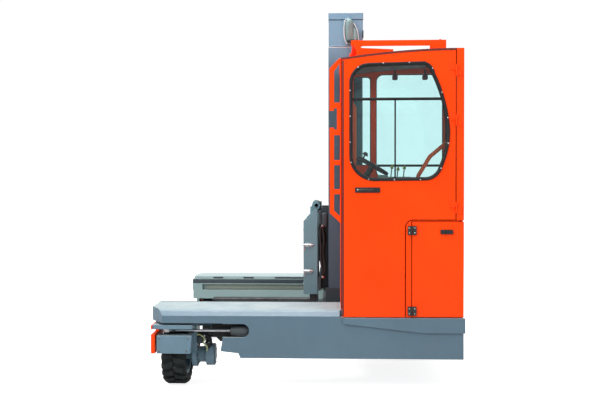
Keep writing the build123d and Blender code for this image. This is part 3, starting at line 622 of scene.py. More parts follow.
WHEELS = (("near", STEER_X, -STEER_Y, 1), ("far", STEER_X, STEER_Y, -1), ("rear", REAR_X, 0.0, 1))
for wn, wx, wy, sg in WHEELS:
    body_w, body_s = "wheel_" + wn, "steer_" + wn
    tyre("tyre_treaded_" + wn, wx, wy, body_w)
    # wheel nuts and hub cap in the rim's open side
    b = Build()
    for i in range(8):
        a = 2 * math.pi * i / 8
        b.bolt((wx - 0.044, wy + 0.088 * math.cos(a), TYRE_R + 0.088 * math.sin(a)), (-1, 0, 0), 0.012, 0.016)
    b.cyl((wx - 0.044, wy, TYRE_R), (-1, 0, 0), 0.058, 0.010, seg=40, bev=0.003)
    b.make("wheel_nuts_" + wn, M_BARE, body_w)
    # drive motor: ribs, end cap bolts, ports; bracket bolts
    b = Build()
    for i in range(4):
        x = wx + 0.163 + i * 0.014
        b.cyl((x, wy, TYRE_R), (1, 0, 0), 0.061, 0.007, seg=48, bev=0.0015)
    b.cyl((wx + 0.2835, wy, TYRE_R), (1, 0, 0), 0.060, 0.006, seg=48, bev=0.002)
    b.box(wx + 0.205, wx + 0.228, wy - 0.030, wy + 0.030, TYRE_R + 0.050, TYRE_R + 0.082, 0.004)
    b.make("motor_ribs_" + wn, M_HUB, body_s)
    b = Build()
    for i in range(8):
        a = 2 * math.pi * (i + 0.5) / 8
        b.bolt((wx + 0.284, wy + 0.071 * math.cos(a), TYRE_R + 0.071 * math.sin(a)), (1, 0, 0), 0.006, 0.006)
    for i in range(6):
        a = 2 * math.pi * i / 6
        b.bolt((wx + 0.155, wy + 0.076 * math.cos(a), TYRE_R + 0.076 * math.sin(a)), (1, 0, 0), 0.009, 0.009)
    for x, z in ((-0.095, 0.289), (0.105, 0.289), (-0.095, 0.382), (0.115, 0.382)):
        b.bolt((wx + x, wy - sg * 0.242, z), (0, -sg, 0), 0.005, 0.0026)
    b.make("bracket_bolts_" + wn, M_FORK, body_s)
    # short hoses from the motor over the valve to the bracket's leg
    b = Build()
    for k, (y, r) in enumerate(((-0.018, 0.009), (0.008, 0.009), (0.034, 0.007))):
        b.tube(smooth_line([(wx + 0.216, wy + sg * y, TYRE_R + 0.078), (wx + 0.222 + 0.008 * k, wy + sg * y, TYRE_R + 0.110),
                            (wx + 0.218, wy + sg * y, 0.364), (wx + 0.194, wy + sg * y, 0.381),
                            (wx + 0.172, wy + sg * y, 0.384), (wx + 0.156, wy + sg * y, 0.384)], 6), r, 10)
    b.make("motor_hoses_" + wn, M_HOSE, body_s)
    b = Build()
    for y in (-0.018, 0.008, 0.034):
        b.cyl((wx + 0.216, wy + sg * y, TYRE_R + 0.070), (0, 0, 1), 0.013, 0.018, seg=6, bev=0.001)
    b.make("hose_fittings_" + wn, M_BARE, body_s)
    b = Build()
    y0, y1 = sorted((wy + sg * 0.0803, wy + sg * 0.0818))
    b.box(wx - 0.1558, wx - 0.1282, y0, y1, 0.272, 0.448, 0.0004)
    b.make("guard_edge_" + wn, M_GREY_LIT, body_s)
    b = Build()
    y0, y1 = sorted((wy - sg * 0.060, wy + sg * 0.030))
    b.box(wx + 0.1555, wx + 0.196, y0, y1, 0.312, 0.366, 0.004, 2)
    y0, y1 = sorted((wy - sg * 0.045, wy + sg * 0.015))
    b.box(wx + 0.196, wx + 0.208, y0, y1, 0.322, 0.354, 0.003, 2)
    b.make("motor_valve_" + wn, M_DARKGREY, body_s)
    b = Build()
    for k in range(2):
        y = wy - sg * (0.056 - 0.019 * k)
        b.tube(smooth_line([(wx + 0.244 + 0.010 * k, y, 0.280 + 0.012 * k), (wx + 0.252 + 0.008 * k, y, 0.322), (wx + 0.242 + 0.006 * k, y, 0.360),
                            (wx + 0.212 + 0.004 * k, y, 0.382), (wx + 0.186, y, 0.380), (wx + 0.178, y, 0.362)], 7), 0.0085, 10)
    b.make("valve_hoses_" + wn, M_HOSE, body_s)
    b = Build()
    y = wy - sg * 0.073
    b.tube(smooth_line([(wx + 0.230, y, 0.258), (wx + 0.232, y, 0.290), (wx + 0.206, y, 0.322), (wx + 0.212, y, 0.352), (wx + 0.186, y, 0.378),
                        (wx + 0.156, y, 0.384)], 7), 0.0060, 10)
    b.make("sensor_lead_" + wn, M_LEAD, body_s)
    # stiffening gussets between the top plate and the leg
    b = Build()
    b.box(wx - 0.126, wx + 0.116, wy - 0.070, wy - 0.058, 0.446, 0.4492, 0.001)
    b.box(wx - 0.126, wx + 0.116, wy + 0.058, wy + 0.070, 0.446, 0.4492, 0.001)
    b.make("bracket_ribs_" + wn, M_GREY, body_s)

for side, sg, body in (("near", -1, "rod_near"), ("far", 1, "rod_far")):
    ex, ey = STEER_X - 0.050, sg * (STEER_Y + 0.170)
    b = Build()
    b.cyl((ex, ey, 0.4430), (0, 0, 1), 0.017, 0.0030, seg=32, bev=0.001)
    b.cyl((ex, ey, 0.4190), (0, 0, -1), 0.016, 0.0040, seg=6, bev=0.001)
    b.cyl((ex + 0.036, ey, 0.431), (1, 0, 0), 0.0155, 0.030, seg=6, bev=0.002)
    b.make("rod_eye_pin_" + side, M_FORK, body)
    b = Build()
    b.cyl((-0.5490, ey, 0.431), (-1, 0, 0), 0.0205, 0.010, seg=36, bev=0.003)
    b.cyl((-0.5400, ey, 0.431), (1, 0, 0), 0.0292, 0.020, seg=40, bev=0.003)
    b.make("rod_gland_" + side, M_BLACK, "chassis")
    b = Build()
    b.revolve((-0.5520, ey, 0.431), [(0.0, 0.0215), (0.0, 0.0300), (0.012, 0.0325), (0.040, 0.0350), (0.075, 0.0378), (0.098, 0.0385),
                                     (0.116, 0.0360), (0.128, 0.0300), (0.133, 0.0285)], seg=48)
    b.make("cylinder_boot_" + side, M_BOOT, "chassis", 50)

# ================================================================ chassis details
# dark sheet in the steering pockets: painted shade of the pockets' inside
for side, sg in (("near", -1), ("far", 1)):
    b = Build()
    y0, y1 = sorted((sg * 1.0595, sg * 1.0625))
    b.prism([(-0.704, 0.4925), (-0.704, 0.410), (-0.640, 0.341), (-0.601, 0.341), (-0.601, 0.372), (-0.415, 0.372), (-0.415, 0.4925)], y0, y1)
    b.make("pocket_shade_sheet_" + side, M_RUBBER, "chassis")

# dark strip on the inner top edge of the arms, a painted shade under the top lip, with its screws, and grip marks on
# the deck
for side, sg in (("near", -1), ("far", 1)):
    b = Build()
    y0, y1 = sorted((sg * 0.7445, sg * 0.7580))
    b.box(-1.150, 0.250, y0, y1, 0.5560, 0.5945, 0.001)
    b.make("deck_lip_shade_" + side, M_DARKGREY, "chassis")
    b = Build()
    for i in range(11):
        b.dome((-1.09 + i * 0.13, sg * 0.7445, 0.582), (0, -sg, 0), 0.005, 0.0015)
    b.make("rail_screws_" + side, M_DARKGREY, "chassis")
    b = Build()
    y0, y1 = sorted((sg * 0.7735, sg * 0.7755))
    b.box(-1.0300, 0.462, y0, y1, 0.4945, 0.5440, 0.0005)
    b.make("track_face_" + side, M_TRACK, "chassis")

b = Build()
for x0, x1 in ((-0.961, -0.865), (-0.668, -0.568), (-0.364, 0.430)):
    b.box(x0, x1, 0.7990, 0.8010, 0.5970, 0.6125, 0.0006)
b.make("deck_slots", M_DARKGREY, "chassis")
b = Build()
b.box(1.1452, 1.1465, -0.42, 0.42, 0.30, 0.47, 0.0005)
b.make("rear_panel", M_GREY, "chassis")
b = Build()
for y in (-0.39, 0.0, 0.39):
    for z in (0.325, 0.445):
        b.bolt((1.1465, y, z), (1, 0, 0), 0.009, 0.007)
b.make("rear_panel_bolts", M_BARE, "chassis")

# ================================================================ door
WIN = (straight((0.323, 1.715), (0.323, 2.240), 8)
       + arc3((0.323, 2.240), (0.362, 2.340), (0.465, 2.383), 12)
       + straight((0.465, 2.383), (0.860, 2.392), 8)
       + arc3((0.860, 2.392), (0.905, 2.364), (0.932, 2.310), 8)
       + arc3((0.932, 2.310), (1.008, 2.100), (1.040, 1.900), 14)
       + arc3((1.040, 1.900), (1.026, 1.760), (0.985, 1.632), 10)
       + arc3((0.985, 1.632), (0.940, 1.566), (0.870, 1.541), 8)
       + straight((0.870, 1.541), (0.500, 1.537), 8)
       + arc3((0.500, 1.537), (0.375, 1.590), (0.323, 1.715), 14))
SEAL = [(-0.004, 0.0003), (-0.0035, 0.0050), (0.001, 0.0085), (0.007, 0.0095), (0.0125, 0.0078), (0.0165, 0.0035),
        (0.0200, -0.004), (0.0210, -0.014), (0.0190, -0.026), (0.002, -0.026), (0.002, 0.0003)]
b = Build()
b.ring(WIN, lambda a, c, h: (a, DOOR_Y - h, c), SEAL)
# sash bars of the sliding pane, each with a glazing lip
b.box(0.345, 1.000, -1.1690, -1.1560, 2.1170, 2.1370, 0.003)
b.box(0.345, 1.000, -1.1735, -1.1685, 2.1225, 2.1315, 0.0015)
b.box(0.6455, 0.6565, -1.1690, -1.1560, 1.560, 2.1200, 0.002)
b.box(0.6485, 0.6535, -1.1735, -1.1685, 1.565, 2.1180, 0.001)
o = b.make("window_rubber", M_RUBBER, "door", 50)
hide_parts("door_window_frame")

b = Build()
n = len(WIN)
acc, step = 0.10, 0.187
for i in range(n):
    p, q = Vector(WIN[i]), Vector(WIN[(i + 1) % n])
    seg = (q - p).length
    while acc <= seg:
        t = acc / seg
        c = p + (q - p) * t
        d = (q - p).normalized()
        nrm = Vector((d.y, -d.x))
        c2 = c + nrm * 0.0025
        b.dome((c2.x, DOOR_Y - 0.0078, c2.y), (0, -1, 0), 0.0052, 0.0030, 14)
        acc += step
    acc -= seg
b.make("window_screws", M_BARE, "door")

# handle: plate, recess and pull
b = Build()
b.box(0.360, 0.542, -1.1805, -1.1745, 1.449, 1.487, 0.005, 3)
b.box(0.372, 0.505, -1.1900, -1.1800, 1.4565, 1.4755, 0.006, 3)
b.box(0.372, 0.386, -1.1885, -1.1790, 1.4530, 1.4790, 0.004, 2)
b.cyl((0.382, -1.1795, 1.468), (0, -1, 0), 0.0125, 0.0100, seg=28, bev=0.0015)
o = b.make("door_handle_set", M_BLACK, "door")
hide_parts("door_handle")
b = Build()
b.cyl((0.382, -1.1890, 1.468), (0, -1, 0), 0.0075, 0.0008, seg=24, bev=0.0003)
b.make("door_lock_core", M_BARE, "door")
b = Build()
for z in (1.300, 1.930, 2.290):
    for x in (1.054, 1.072):
        for dz in (0.051, 0.071):
            b.dome((x, -1.1810, z + dz), (0, -1, 0), 0.004, 0.002, 12)
b.make("door_hinge_screws", M_ORANGE, "door")

# rubber seal in the door gap
b = Build()
b.box(1.0862, 1.0910, -1.1560, -1.1400, 1.258, 2.470, 0.001)
b.make("door_frame_seal", M_RUBBER, "chassis")
# dark red strips on the door's top and front edges, in the door's front gap and along the roof's edge: painted shade
b = Build()
edge = [0.2745 + (1.0830 - 0.2745) * k / 24 for k in range(25)]
b.prism([(x, top_z(x) - 0.0160) for x in edge] + [(x, top_z(x) - 0.0098) for x in reversed(edge)], -1.1748, -1.1764)
b.box(0.2696, 0.2800, -1.1764, -1.1748, 0.552, 2.4050, 0.0004)
b.make("door_edge_shade_strip", M_SHADED_ORANGE, "door")
b = Build()
b.box(0.2600, 0.2690, -1.1345, -1.1305, 0.60, 2.40, 0.0004)
b.make("door_gap_shade_strip", M_SHADED_ORANGE, "chassis")
b = Build()
edge = [0.2600 + (1.0915 - 0.2600) * k / 24 for k in range(25)]
b.prism([(x, top_z(x) - 0.0078) for x in edge] + [(x, top_z(x) - 0.0002) for x in reversed(edge)], -1.1295, -1.1745)
b.make("roof_edge_shade_strip", M_SHADED_ORANGE, "chassis")
# dark trim beside the rear window, inside
b = Build()
b.box(1.1030, 1.1048, -0.5200, -0.4720, 1.2450, 2.4200, 0.0004)
b.box(1.1030, 1.1048, -1.1200, -1.0620, 1.2450, 2.4200, 0.0004)
b.make("rear_window_trim", M_RUBBER, "chassis")
b = Build()
b.box(0.549, 1.091, -0.4735, -0.4702, 1.6505, 1.6695, 0.001)
b.make("inner_window_bar", M_RUBBER, "chassis")

# compartment pull and hinge screws
b = Build()
b.box(0.986, 1.058, -1.1890, -1.1865, 1.157, 1.174, 0.001, 2)
b.make("compartment_pull", M_BLACK, "compartment")
b = Build()
for z in (0.591, 1.176):
    for dz in (-0.018, 0.018):
        b.dome((0.7915, -1.1870, z + dz), (0, -1, 0), 0.0048, 0.0020, 12)
b.make("compartment_screws", M_BARE, "compartment")
b = Build()
for z in (0.591, 1.176):
    for dz in (-0.018, 0.018):
        b.dome((0.7530, -1.1870, z + dz), (0, -1, 0), 0.0048, 0.0020, 12)
b.make("hinge_screws", M_BARE, "chassis")

# ================================================================ cab windows
def wall_seal(name, path, place, body="chassis"):
    bb = Build()
    bb.ring(path, place, [(-0.007, 0.0003), (-0.006, 0.003), (0.0, 0.0045), (0.005, 0.0035), (0.007, 0.0), (0.007, -0.008), (0.001, -0.008), (0.001, 0.0003)])
    return bb.make(name, M_RUBBER, body, 50)


FRONT = round_rect(-1.085, -0.475, 1.380, 2.370, 0.004)
REARW = round_rect(-1.060, -0.520, 1.661, 2.390, 0.004)
wall_seal("front_window_rubber", FRONT, lambda a, c, h: (0.258 - h, a, c))
wall_seal("rear_window_rubber", REARW, lambda a, c, h: (1.145 + h, a, c))
for k, (x0, x1, z0, z1, r) in enumerate(((0.369, 0.508, 1.661, 2.380, 0.030), (0.549, 1.090, 1.561, 2.400, 0.060))):
    W = round_rect(x0, x1, z0, z1, r)
    wall_seal("inner_window_rubber_%d" % k, W, lambda a, c, h: (a, -0.430 + h, c))

# ================================================================ cab interior
# ceiling sheet in dark red: the painted shade of the orange roof's underside
b = Build()
rows = []
for k in range(13):
    x = 0.302 + (1.104 - 0.302) * k / 12
    rows.append([b.bm.verts.new((x, y, top_z(x) - (0.052 if 0 < j < 5 else 0.043))) for j, y in
                 enumerate((-1.122, -1.090, -0.95, -0.70, -0.510, -0.476))])
for r0, r1 in zip(rows, rows[1:]):
    for j in range(5):
        b.bm.faces.new((r0[j], r1[j], r1[j + 1], r0[j + 1]))
top = [[b.bm.verts.new(v.co + Vector((0, 0, 0.012))) for v in row] for row in rows]
for r0, r1 in zip(top, top[1:]):
    for j in range(5):
        b.bm.faces.new((r0[j], r0[j + 1], r1[j + 1], r1[j]))
for a0, a1 in ((rows, top),):
    for i in range(12):
        b.bm.faces.new((a0[i][0], a1[i][0], a1[i + 1][0], a0[i + 1][0]))
        b.bm.faces.new((a0[i][5], a0[i + 1][5], a1[i + 1][5], a1[i][5]))
    for j in range(5):
        b.bm.faces.new((a0[0][j], a0[0][j + 1], a1[0][j + 1], a1[0][j]))
        b.bm.faces.new((a0[12][j], a1[12][j], a1[12][j + 1], a0[12][j + 1]))
b.make("roof_painted_shade", M_SHADED_ORANGE, "chassis")
# two small lamps under the inner window's head
b = Build()
for x in (0.698, 0.938):
    b.box(x - 0.022, x + 0.022, -0.522, -0.482, 2.345, 2.385, 0.010, 3)
    b.cyl((x, -0.502, 2.382), (0, 0, 1), 0.008, 0.045, seg=14)
b.make("cab_lamps", M_SHADED_ORANGE, "chassis")
# steering knob, levers, display and pedals
b = Build()
b.cyl((0.425, -0.944, 1.701), (0.5, 0, 0.866), 0.006, 0.036, seg=14)
b.dome((0.441, -0.944, 1.728), (0.5, 0, 0.866), 0.022, 0.026)
for i, y in enumerate((-0.700, -0.655, -0.610, -0.565)):
    b.tube(smooth_line([(0.320, y, 1.36), (0.345, y, 1.44), (0.362, y, 1.52)], 5), 0.006, 10)
    b.dome((0.360, y, 1.508), (0.2, 0, 0.98), 0.017, 0.034)
b.box(0.299, 0.352, -0.735, -0.530, 1.290, 1.375, 0.010, 3)
b.box(0.420, 0.520, -1.02, -0.94, 0.851, 0.866, 0.004)
b.box(0.430, 0.500, -0.740, -0.680, 0.851, 0.885, 0.008)
b.make("cab_controls", M_BLACK, "chassis")
# arm rest with its levers beside the seat
b = Build()
b.box(0.640, 0.960, -0.548, -0.488, 1.520, 1.562, 0.012, 3)
b.box(0.880, 0.930, -0.540, -0.496, 1.242, 1.525, 0.006, 2)
b.make("arm_rest", M_BLACK, "chassis")
b = Build()
b.box(0.640, 0.820, -0.546, -0.490, 1.5615, 1.5700, 0.003, 2)
b.box(0.560, 0.640, -0.560, -0.480, 1.540, 1.585, 0.010, 3)
b.make("lever_panel", M_PALE, "chassis")
b = Build()
for x, h in ((0.665, 0.075), (0.715, 0.060), (0.765, 0.070)):
    b.cyl((x, -0.518, 1.568), (0.1, 0, 1), 0.005, h, seg=12)
b.make("lever_stems", M_BARE, "chassis")
b = Build()
for x, h in ((0.665, 0.075), (0.715, 0.060), (0.765, 0.070)):
    b.dome((x + 0.1 * h, -0.518, 1.560 + h), (0.1, 0, 1), 0.013, 0.030)
b.make("lever_knobs", M_YELLOW, "chassis")
b = Build()
b.box(0.302, 0.330, -0.700, -0.540, 1.560, 1.665, 0.006, 2)
b.make("display_case", M_BLACK, "chassis")
b = Build()
b.box(0.3300, 0.3315, -0.690, -0.550, 1.572, 1.655, 0.0005)
b.make("display_face", M_SCREEN, "chassis")


# seat: padded pieces pressed out by a cloth simulation
def pad(name, lo, hi, node_name, cap, rnd):
    lo, hi = Vector(lo), Vector(hi)
    b = Build()
    b.box(lo.x, hi.x, lo.y, hi.y, lo.z, hi.z, rnd, 5)
    bm = b.bm
    me = bpy.data.meshes.new(name)
    bmesh.ops.recalc_face_normals(bm, faces=bm.faces[:])
    bm.to_mesh(me)
    bm.free()
    o = bpy.data.objects.new(name, me)
    scene.collection.objects.link(o)
    rm = o.modifiers.new("remesh", "REMESH")
    rm.mode = "VOXEL"
    rm.voxel_size = 0.009
    bpy.context.view_layer.update()
    deps = bpy.context.evaluated_depsgraph_get()
    new = bpy.data.meshes.new_from_object(o.evaluated_get(deps))
    o.modifiers.clear()
    o.data = new
    start = [v.co.copy() for v in new.vertices]
    moved = None
    cl = o.modifiers.new("cloth", "CLOTH")
    cl.settings.use_pressure = True
    cl.settings.uniform_pressure_force = 4.0
    cl.settings.quality = 4
    cl.settings.mass = 0.3
    cl.settings.effector_weights.gravity = 0.0
    cl.point_cache.frame_start, cl.point_cache.frame_end = 1, 20
    for f in range(1, 21):
        scene.frame_set(f)
    deps = bpy.context.evaluated_depsgraph_get()
    ev = o.evaluated_get(deps).to_mesh()
    moved = [v.co.copy() for v in ev.vertices]
    o.evaluated_get(deps).to_mesh_clear()
    o.modifiers.clear()
    scene.frame_set(1)
    for i, v in enumerate(new.vertices):
        p = start[i]
        d = (moved[i] - p) if moved else Vector((0, 0, 0))
        if d.length > cap:
            d = d * (cap / d.length)
        v.co = p + d
    new.update()
    o.data.materials.clear()
    o.data.materials.append(M_SEAT)
    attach(o, "chassis")
    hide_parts(node_name)
    return o


def channels(o, face_axis, sign, run_axis, lines, depth, width):
    """Presses sewn channels into the padded face."""
    for v in o.data.vertices:
        nrm = v.normal[face_axis] * sign
        if nrm < 0.35:
            continue
        for at in lines:
            d = abs(v.co[run_axis] - at)
            if d < width * 2.5:
                v.co[face_axis] -= sign * depth * math.exp(-(d / width) ** 2) * min(1.0, (nrm - 0.35) / 0.4)
    o.data.update()


def soften(o):
    s = o.modifiers.new("sub", "SUBSURF")
    s.levels = s.render_levels = 1
    o.data.polygons.foreach_set("use_smooth", [True] * len(o.data.polygons))


cush = pad("seat_cushion_soft", (0.652, -0.996, 1.2405), (1.030, -0.574, 1.338), "seat_cushion", 0.016, 0.034)
channels(cush, 2, 1, 1, (-0.905, -0.665), 0.012, 0.007)
channels(cush, 2, 1, 0, (0.760, 0.880), 0.008, 0.006)
for v in cush.data.vertices:
    v.co.z = max(v.co.z, 1.2405)
soften(cush)
back = pad("seat_back_soft", (1.024, -0.990, 1.366), (1.088, -0.580, 1.628), "seat_back", 0.012, 0.026)
channels(back, 0, -1, 1, (-0.905, -0.665), 0.010, 0.007)
channels(back, 0, -1, 2, (1.450, 1.540), 0.007, 0.006)
soften(back)
b = Build()
b.box(1.090, 1.1095, -0.960, -0.610, 1.242, 1.600, 0.006, 2)
b.box(1.030, 1.100, -0.840, -0.730, 1.242, 1.300, 0.006, 2)
b.make("seat_frame", M_BLACK, "chassis")

# ================================================================ roof and guards
b = Build()
for x in (0.365, 0.980):
    for y in (-1.111, -0.489):
        b.bolt((x, y, 2.558), (0, 0, 1), 0.008, 0.006)
b.make("guard_bolts", M_ORANGE, "chassis")
b = Build()
for z in (1.456, 1.668, 1.886, 2.085):
    b.dome((0.250, -1.150, z), (0, -1, 0), 0.007, 0.004, 14)
b.make("side_guard_bolts", M_ORANGE, "chassis")

# ================================================================ battery hood
b = Build()
b.box(0.4785, 0.4800, -0.410, 1.113, 1.2380, 1.2440, 0.0004)
b.box(1.1450, 1.1462, -0.410, 1.113, 1.2380, 1.2440, 0.0004)
b.box(0.495, 1.130, 1.1280, 1.1292, 1.2380, 1.2440, 0.0004)
b.box(0.495, 1.130, 0.3490, 0.3550, 1.3996, 1.4006, 0.0003)
b.make("hood_seams", M_RUBBER, "chassis")
b = Build()
for i in range(9):
    z = 0.72 + i * 0.042
    b.box(0.60, 0.86, 1.1270, 1.1335, z, z + 0.012, 0.002, turn=Matrix.Rotation(math.radians(24), 3, "X"))
    b.box(1.1442, 1.1502, 0.25, 0.62, z, z + 0.012, 0.002, turn=Matrix.Rotation(math.radians(-24), 3, "Y"))
b.make("hood_louvres", M_GREY, "chassis")
b = Build()
for y in (-0.05, 0.75):
    b.box(1.1450, 1.1530, y - 0.055, y + 0.055, 1.285, 1.315, 0.003, 2)
for x in (0.66, 0.98):
    b.box(x - 0.055, x + 0.055, 1.1280, 1.1360, 1.285, 1.315, 0.003, 2)
b.make("hood_latches", M_BLACK, "chassis")

# ================================================================ mast
# hoses in their sleeve, looped over the sheave on the mast head
def lobe(b, rows, y_face, deep, cols=14):
    """Rounded sleeve on the mast's side: rows of (z, x left, x right, bulge)."""
    grid = []
    for z, x0, x1, k in rows:
        row = []
        for j in range(cols + 1):
            s = -1 + 2 * j / cols
            row.append(b.bm.verts.new(((x0 + x1) / 2 + (x1 - x0) / 2 * s, y_face - deep * k * math.sqrt(max(0.0, 1 - s * s)), z)))
        grid.append(row)
    for r0, r1 in zip(grid, grid[1:]):
        for j in range(cols):
            b.bm.faces.new((r0[j], r0[j + 1], r1[j + 1], r1[j]))
        b.bm.faces.new((r0[cols], r0[0], r1[0], r1[cols]))
    b.bm.faces.new(list(reversed(grid[0])))
    b.bm.faces.new(grid[-1])


b = Build()
lobe(b, [(2.650, 0.3150, 0.3960, 0.30), (2.690, 0.3010, 0.3840, 0.55), (2.740, 0.2950, 0.3790, 0.80), (2.790, 0.2940, 0.3760, 0.95),
         (2.820, 0.2960, 0.3710, 1.0), (2.838, 0.3010, 0.3640, 0.95), (2.850, 0.3090, 0.3540, 0.75), (2.856, 0.3200, 0.3420, 0.40)], -0.4015, 0.046)
lobe(b, [(2.650, 0.3600, 0.4150, 0.60), (2.700, 0.3600, 0.4110, 0.75), (2.745, 0.3600, 0.4040, 0.70), (2.775, 0.3600, 0.3930, 0.55),
         (2.800, 0.3600, 0.3810, 0.35)], -0.4015, 0.040)
o = b.make("hose_sleeve", M_HOOD, "mast_stage", 50)
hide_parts("hose_sheave")
b = Build()
b.tube(smooth_line([(0.3280, -0.4260, 2.8560), (0.3080, -0.4270, 2.8490), (0.2960, -0.4270, 2.8290), (0.2915, -0.4265, 2.790),
                    (0.2915, -0.4250, 2.740), (0.2950, -0.4240, 2.700), (0.3040, -0.4230, 2.670), (0.3180, -0.4220, 2.650)], 6), 0.0050, 12)
b.tube(smooth_line([(0.3700, -0.4230, 2.818), (0.3860, -0.4280, 2.790), (0.3990, -0.4280, 2.755), (0.4080, -0.4260, 2.705), (0.4120, -0.4220, 2.660)], 6), 0.0040, 12)
b.make("mast_hoses", M_HOSE_L, "mast_stage")
b = Build()
b.box(0.3150, 0.4050, -0.4380, -0.4230, 2.6600, 2.6850, 0.006, 3)
b.box(0.4400, 0.4490, -0.4300, -0.4000, 2.700, 2.760, 0.002)
b.make("hose_clamp", M_HOSE, "mast_stage")
# lower lip of the mast head, and a pale strip on the top edge of the outer uprights that is a painted highlight
b = Build()
for sg in (-1, 1):
    y0, y1 = sorted((sg * 0.3990, sg * 0.3900))
    b.box(0.1720, 0.3440, y0, y1, 2.6335, 2.6460, 0.0008)
b.make("head_lip", M_MAST, "mast_stage")
b = Build()
for sg in (-1, 1):
    y0, y1 = sorted((sg * 0.4012, sg * 0.3995))
    b.box(0.1660, 0.3440, y0, y1, 2.6235, 2.6308, 0.0005)
b.make("mast_top_highlight", M_HOSE_L, "mast")
# chain sheaves and lift chains between the head and the carriage
for sg in (-1, 1):
    b = Build()
    b.cyl((0.235, sg * 0.205, 2.8050), (0, sg, 0), 0.036, 0.030, seg=36, bev=0.003)
    b.cyl((0.235, sg * 0.185, 2.8050), (0, sg, 0), 0.012, 0.070, seg=20)
    b.box(0.215, 0.302, sg * 0.246 - 0.004, sg * 0.246 + 0.004, 2.780, 2.855, 0.002)
    b.box(0.215, 0.302, sg * 0.194 - 0.004, sg * 0.194 + 0.004, 2.780, 2.855, 0.002)
    b.make("chain_sheave_" + ("near" if sg < 0 else "far"), M_DARKGREY, "mast_stage")
    b = Build()
    for i in range(64):
        z = 1.2405 + i * 0.0243
        for j, dy in enumerate((-0.008, -0.003, 0.003, 0.008)):
            off = 0.012 if j % 2 else 0.0
            b.box(0.1945, 0.2055, sg * 0.220 + dy - 0.0018, sg * 0.220 + dy + 0.0018, z + off, z + off + 0.0225, 0.0)
        b.cyl((0.200, sg * 0.220 - 0.0115, z + 0.006), (0, 1, 0), 0.0035, 0.023, seg=8)
    o = b.make("lift_chain_" + ("near" if sg < 0 else "far"), M_FORK, "mast_stage", 30)
    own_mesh(o)
# bolts of the cross beams, and glands on the lift cylinders
b = Build()
for z in (0.76, 1.57, 2.54):
    for y in (-0.37, -0.27, 0.27, 0.37):
        b.bolt((0.357, y, z), (1, 0, 0), 0.010, 0.008)
b.make("mast_bolts", M_BARE, "mast")
b = Build()
for sg in (-1, 1):
    b.cyl((0.403, sg * 0.355, 2.5600), (0, 0, 1), 0.046, 0.020, seg=40, bev=0.004)
    b.cyl((0.403, sg * 0.355, 0.640), (0, 0, 1), 0.047, 0.030, seg=40, bev=0.004)
    b.box(0.350, 0.4440, sg * 0.355 - 0.048, sg * 0.355 + 0.048, 1.560, 1.580, 0.003)
bb = b.make("cylinder_glands", M_DARKGREY, "mast")

# ---------------------------------------------------------------- carriage
b = Build()
for k, (y, r) in enumerate(((-0.40, 0.009), (-0.38, 0.009), (-0.355, 0.008), (-0.33, 0.008))):
    b.tube(smooth_line([(0.112, y, 1.17), (0.126 + 0.004 * k, y, 1.06), (0.118, y + 0.004, 0.94), (0.132 - 0.003 * k, y, 0.82),
                        (0.116, y, 0.745)], 8), r, 10)
for sg in (-1, 1):
    b.tube(smooth_line([(0.110, sg * 0.16, 1.18), (0.150, sg * 0.14, 1.05), (0.160, sg * 0.12, 0.90), (0.125, sg * 0.12, 0.75)], 8), 0.010, 10)
for y in (-0.405, -0.385):
    b.tube(smooth_line([(0.098, y, 1.165), (0.095, y, 1.08), (0.101, y, 0.98), (0.099, y, 0.90), (0.110, y, 0.83), (0.118, y, 0.77)], 8), 0.010, 10)
b.make("carriage_hoses", M_HOSE, "carriage")
b = Build()
b.box(0.0840, 0.1080, -0.345, -0.330, 0.875, 1.180, 0.003)
b.box(0.0840, 0.1080, 0.330, 0.345, 0.875, 1.180, 0.003)
b.make("buffer_strips", M_HOSE, "carriage")
b = Build()
b.box(0.1005, 0.150, -0.410, -0.325, 1.165, 1.275, 0.006, 2)
b.box(0.1005, 0.140, -0.12, 0.12, 1.195, 1.275, 0.006, 2)
for sg in (-1, 1):
    b.box(0.1005, 0.215, sg * 0.220 - 0.020, sg * 0.220 + 0.020, 1.185, 1.205, 0.003)
    b.cyl((0.200, sg * 0.220, 1.205), (0, 0, 1), 0.010, 0.035, seg=16)
b.make("valve_block", M_DARKGREY, "carriage")
b = Build()
for y in (-0.40, -0.38, -0.355, -0.33):
    b.cyl((0.112, y, 1.160), (0, 0, 1), 0.0125, 0.020, seg=6, bev=0.001)
    b.cyl((0.116, y, 0.738), (0, 0, 1), 0.0125, 0.020, seg=6, bev=0.001)
b.make("valve_fittings", M_BARE, "carriage")
# ---------------------------------------------------------------- fork frame
b = Build()
for sg in (-1, 1):
    for z in (1.013, 0.799):
        b.cyl((-0.048, sg * 0.4265, z), (1, 0, 0), 0.0065, 0.086, seg=18, bev=0.001)
        b.cyl((-0.034, sg * 0.420, z - 0.012), (0, 0, -1), 0.004, 0.035, seg=12)
        b.box(-0.034, 0.030, sg * 0.4205 - 0.002, sg * 0.4205 + 0.002, z - 0.014, z + 0.014, 0.002)
b.make("fork_pins", M_BARE, "forks")
b = Build()
for sg in (-1, 1):
    y0, y1 = sorted((sg * 0.2505, sg * 0.2560))
    b.prism([(0.024, 1.338), (0.036, 1.370), (0.078, 1.362), (0.096, 1.330), (0.080, 1.302), (0.048, 1.290)], y0, y1)
    b.cyl((0.060, sg * 0.2560, 1.335), (0, sg, 0), 0.016, 0.006, seg=24, bev=0.002)
b.make("pivot_plates", M_FRAME, "forks")
b = Build()
for sg in (-1, 1):
    for y in (0.255, 0.345):
        for z in (0.690, 1.135):
            b.bolt((-0.035, sg * y, z), (-1, 0, 0), 0.011, 0.010)
b.make("fork_bar_bolts", M_BARE, "forks")

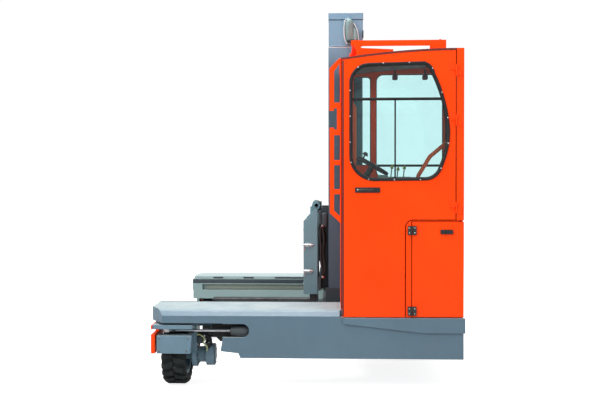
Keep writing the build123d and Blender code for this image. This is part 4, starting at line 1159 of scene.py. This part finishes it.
# ================================================================ floor, light, camera
bm = bmesh.new()
S = 60.0
N = 12
grid = [[bm.verts.new((-S + 2 * S * i / N, -S + 2 * S * j / N, -0.0005)) for j in range(N + 1)] for i in range(N + 1)]
for i in range(N):
    for j in range(N):
        bm.faces.new((grid[i][j], grid[i + 1][j], grid[i + 1][j + 1], grid[i][j + 1]))
me = bpy.data.meshes.new("studio_floor")
bm.to_mesh(me)
bm.free()
floor = bpy.data.objects.new("studio_floor", me)
scene.collection.objects.link(floor)
me.materials.append(M_FLOOR)

world = bpy.data.worlds.new("studio")
world.use_nodes = True
scene.world = world
wn = world.node_tree
bg = wn.nodes["Background"]
lp = wn.nodes.new("ShaderNodeLightPath")
mr = wn.nodes.new("ShaderNodeMapRange")
mr.inputs["To Min"].default_value = 0.50
mr.inputs["To Max"].default_value = 1.02
wn.links.new(lp.outputs["Is Camera Ray"], mr.inputs["Value"])
wn.links.new(mr.outputs["Result"], bg.inputs["Strength"])
bg.inputs["Color"].default_value = (1.0, 1.0, 1.0, 1)


def area(name, loc, target, size, energy, colour=(1, 1, 1)):
    l = bpy.data.lights.new(name, "AREA")
    l.shape = "DISK"
    l.size = size
    l.energy = energy
    l.color = colour
    o = bpy.data.objects.new(name, l)
    o.location = loc
    o.rotation_euler = (Vector(target) - Vector(loc)).to_track_quat("-Z", "Y").to_euler()
    scene.collection.objects.link(o)
    return o


area("key", (-5.0, -5.5, 5.5), (-0.2, -0.4, 1.2), 4.0, 400)
area("fill", (5.0, -6.0, 3.5), (0.4, 0.0, 1.2), 4.0, 110)
area("top", (-0.6, -1.2, 7.0), (-0.6, -0.6, 0.5), 4.0, 560)
area("back", (2.0, 6.5, 4.5), (0.0, 0.0, 1.2), 4.0, 160)

# the photograph's camera
POS = Vector((0.2042, -7.1774, 1.5156))
YAW, PITCH, ROLL, FOCAL = -0.0404, -0.0198, -0.0012, 826.7
fwd = Vector((math.sin(YAW) * math.cos(PITCH), math.cos(YAW) * math.cos(PITCH), math.sin(PITCH)))
right = Vector((math.cos(YAW), -math.sin(YAW), 0.0))
up = right.cross(fwd)
r2 = right * math.cos(ROLL) + up * math.sin(ROLL)
u2 = up * math.cos(ROLL) - right * math.sin(ROLL)
cam_data = bpy.data.cameras.new("camera")
cam_data.sensor_fit = "HORIZONTAL"
cam_data.sensor_width = 36.0
cam_data.lens = FOCAL * 36.0 / 600.0
cam = bpy.data.objects.new("camera", cam_data)
m = Matrix((r2, u2, -fwd)).transposed().to_4x4()
m.translation = POS
cam.matrix_world = m
scene.collection.objects.link(cam)
scene.camera = cam
scene.view_settings.view_transform = "Standard"

bpy.context.view_layer.update()
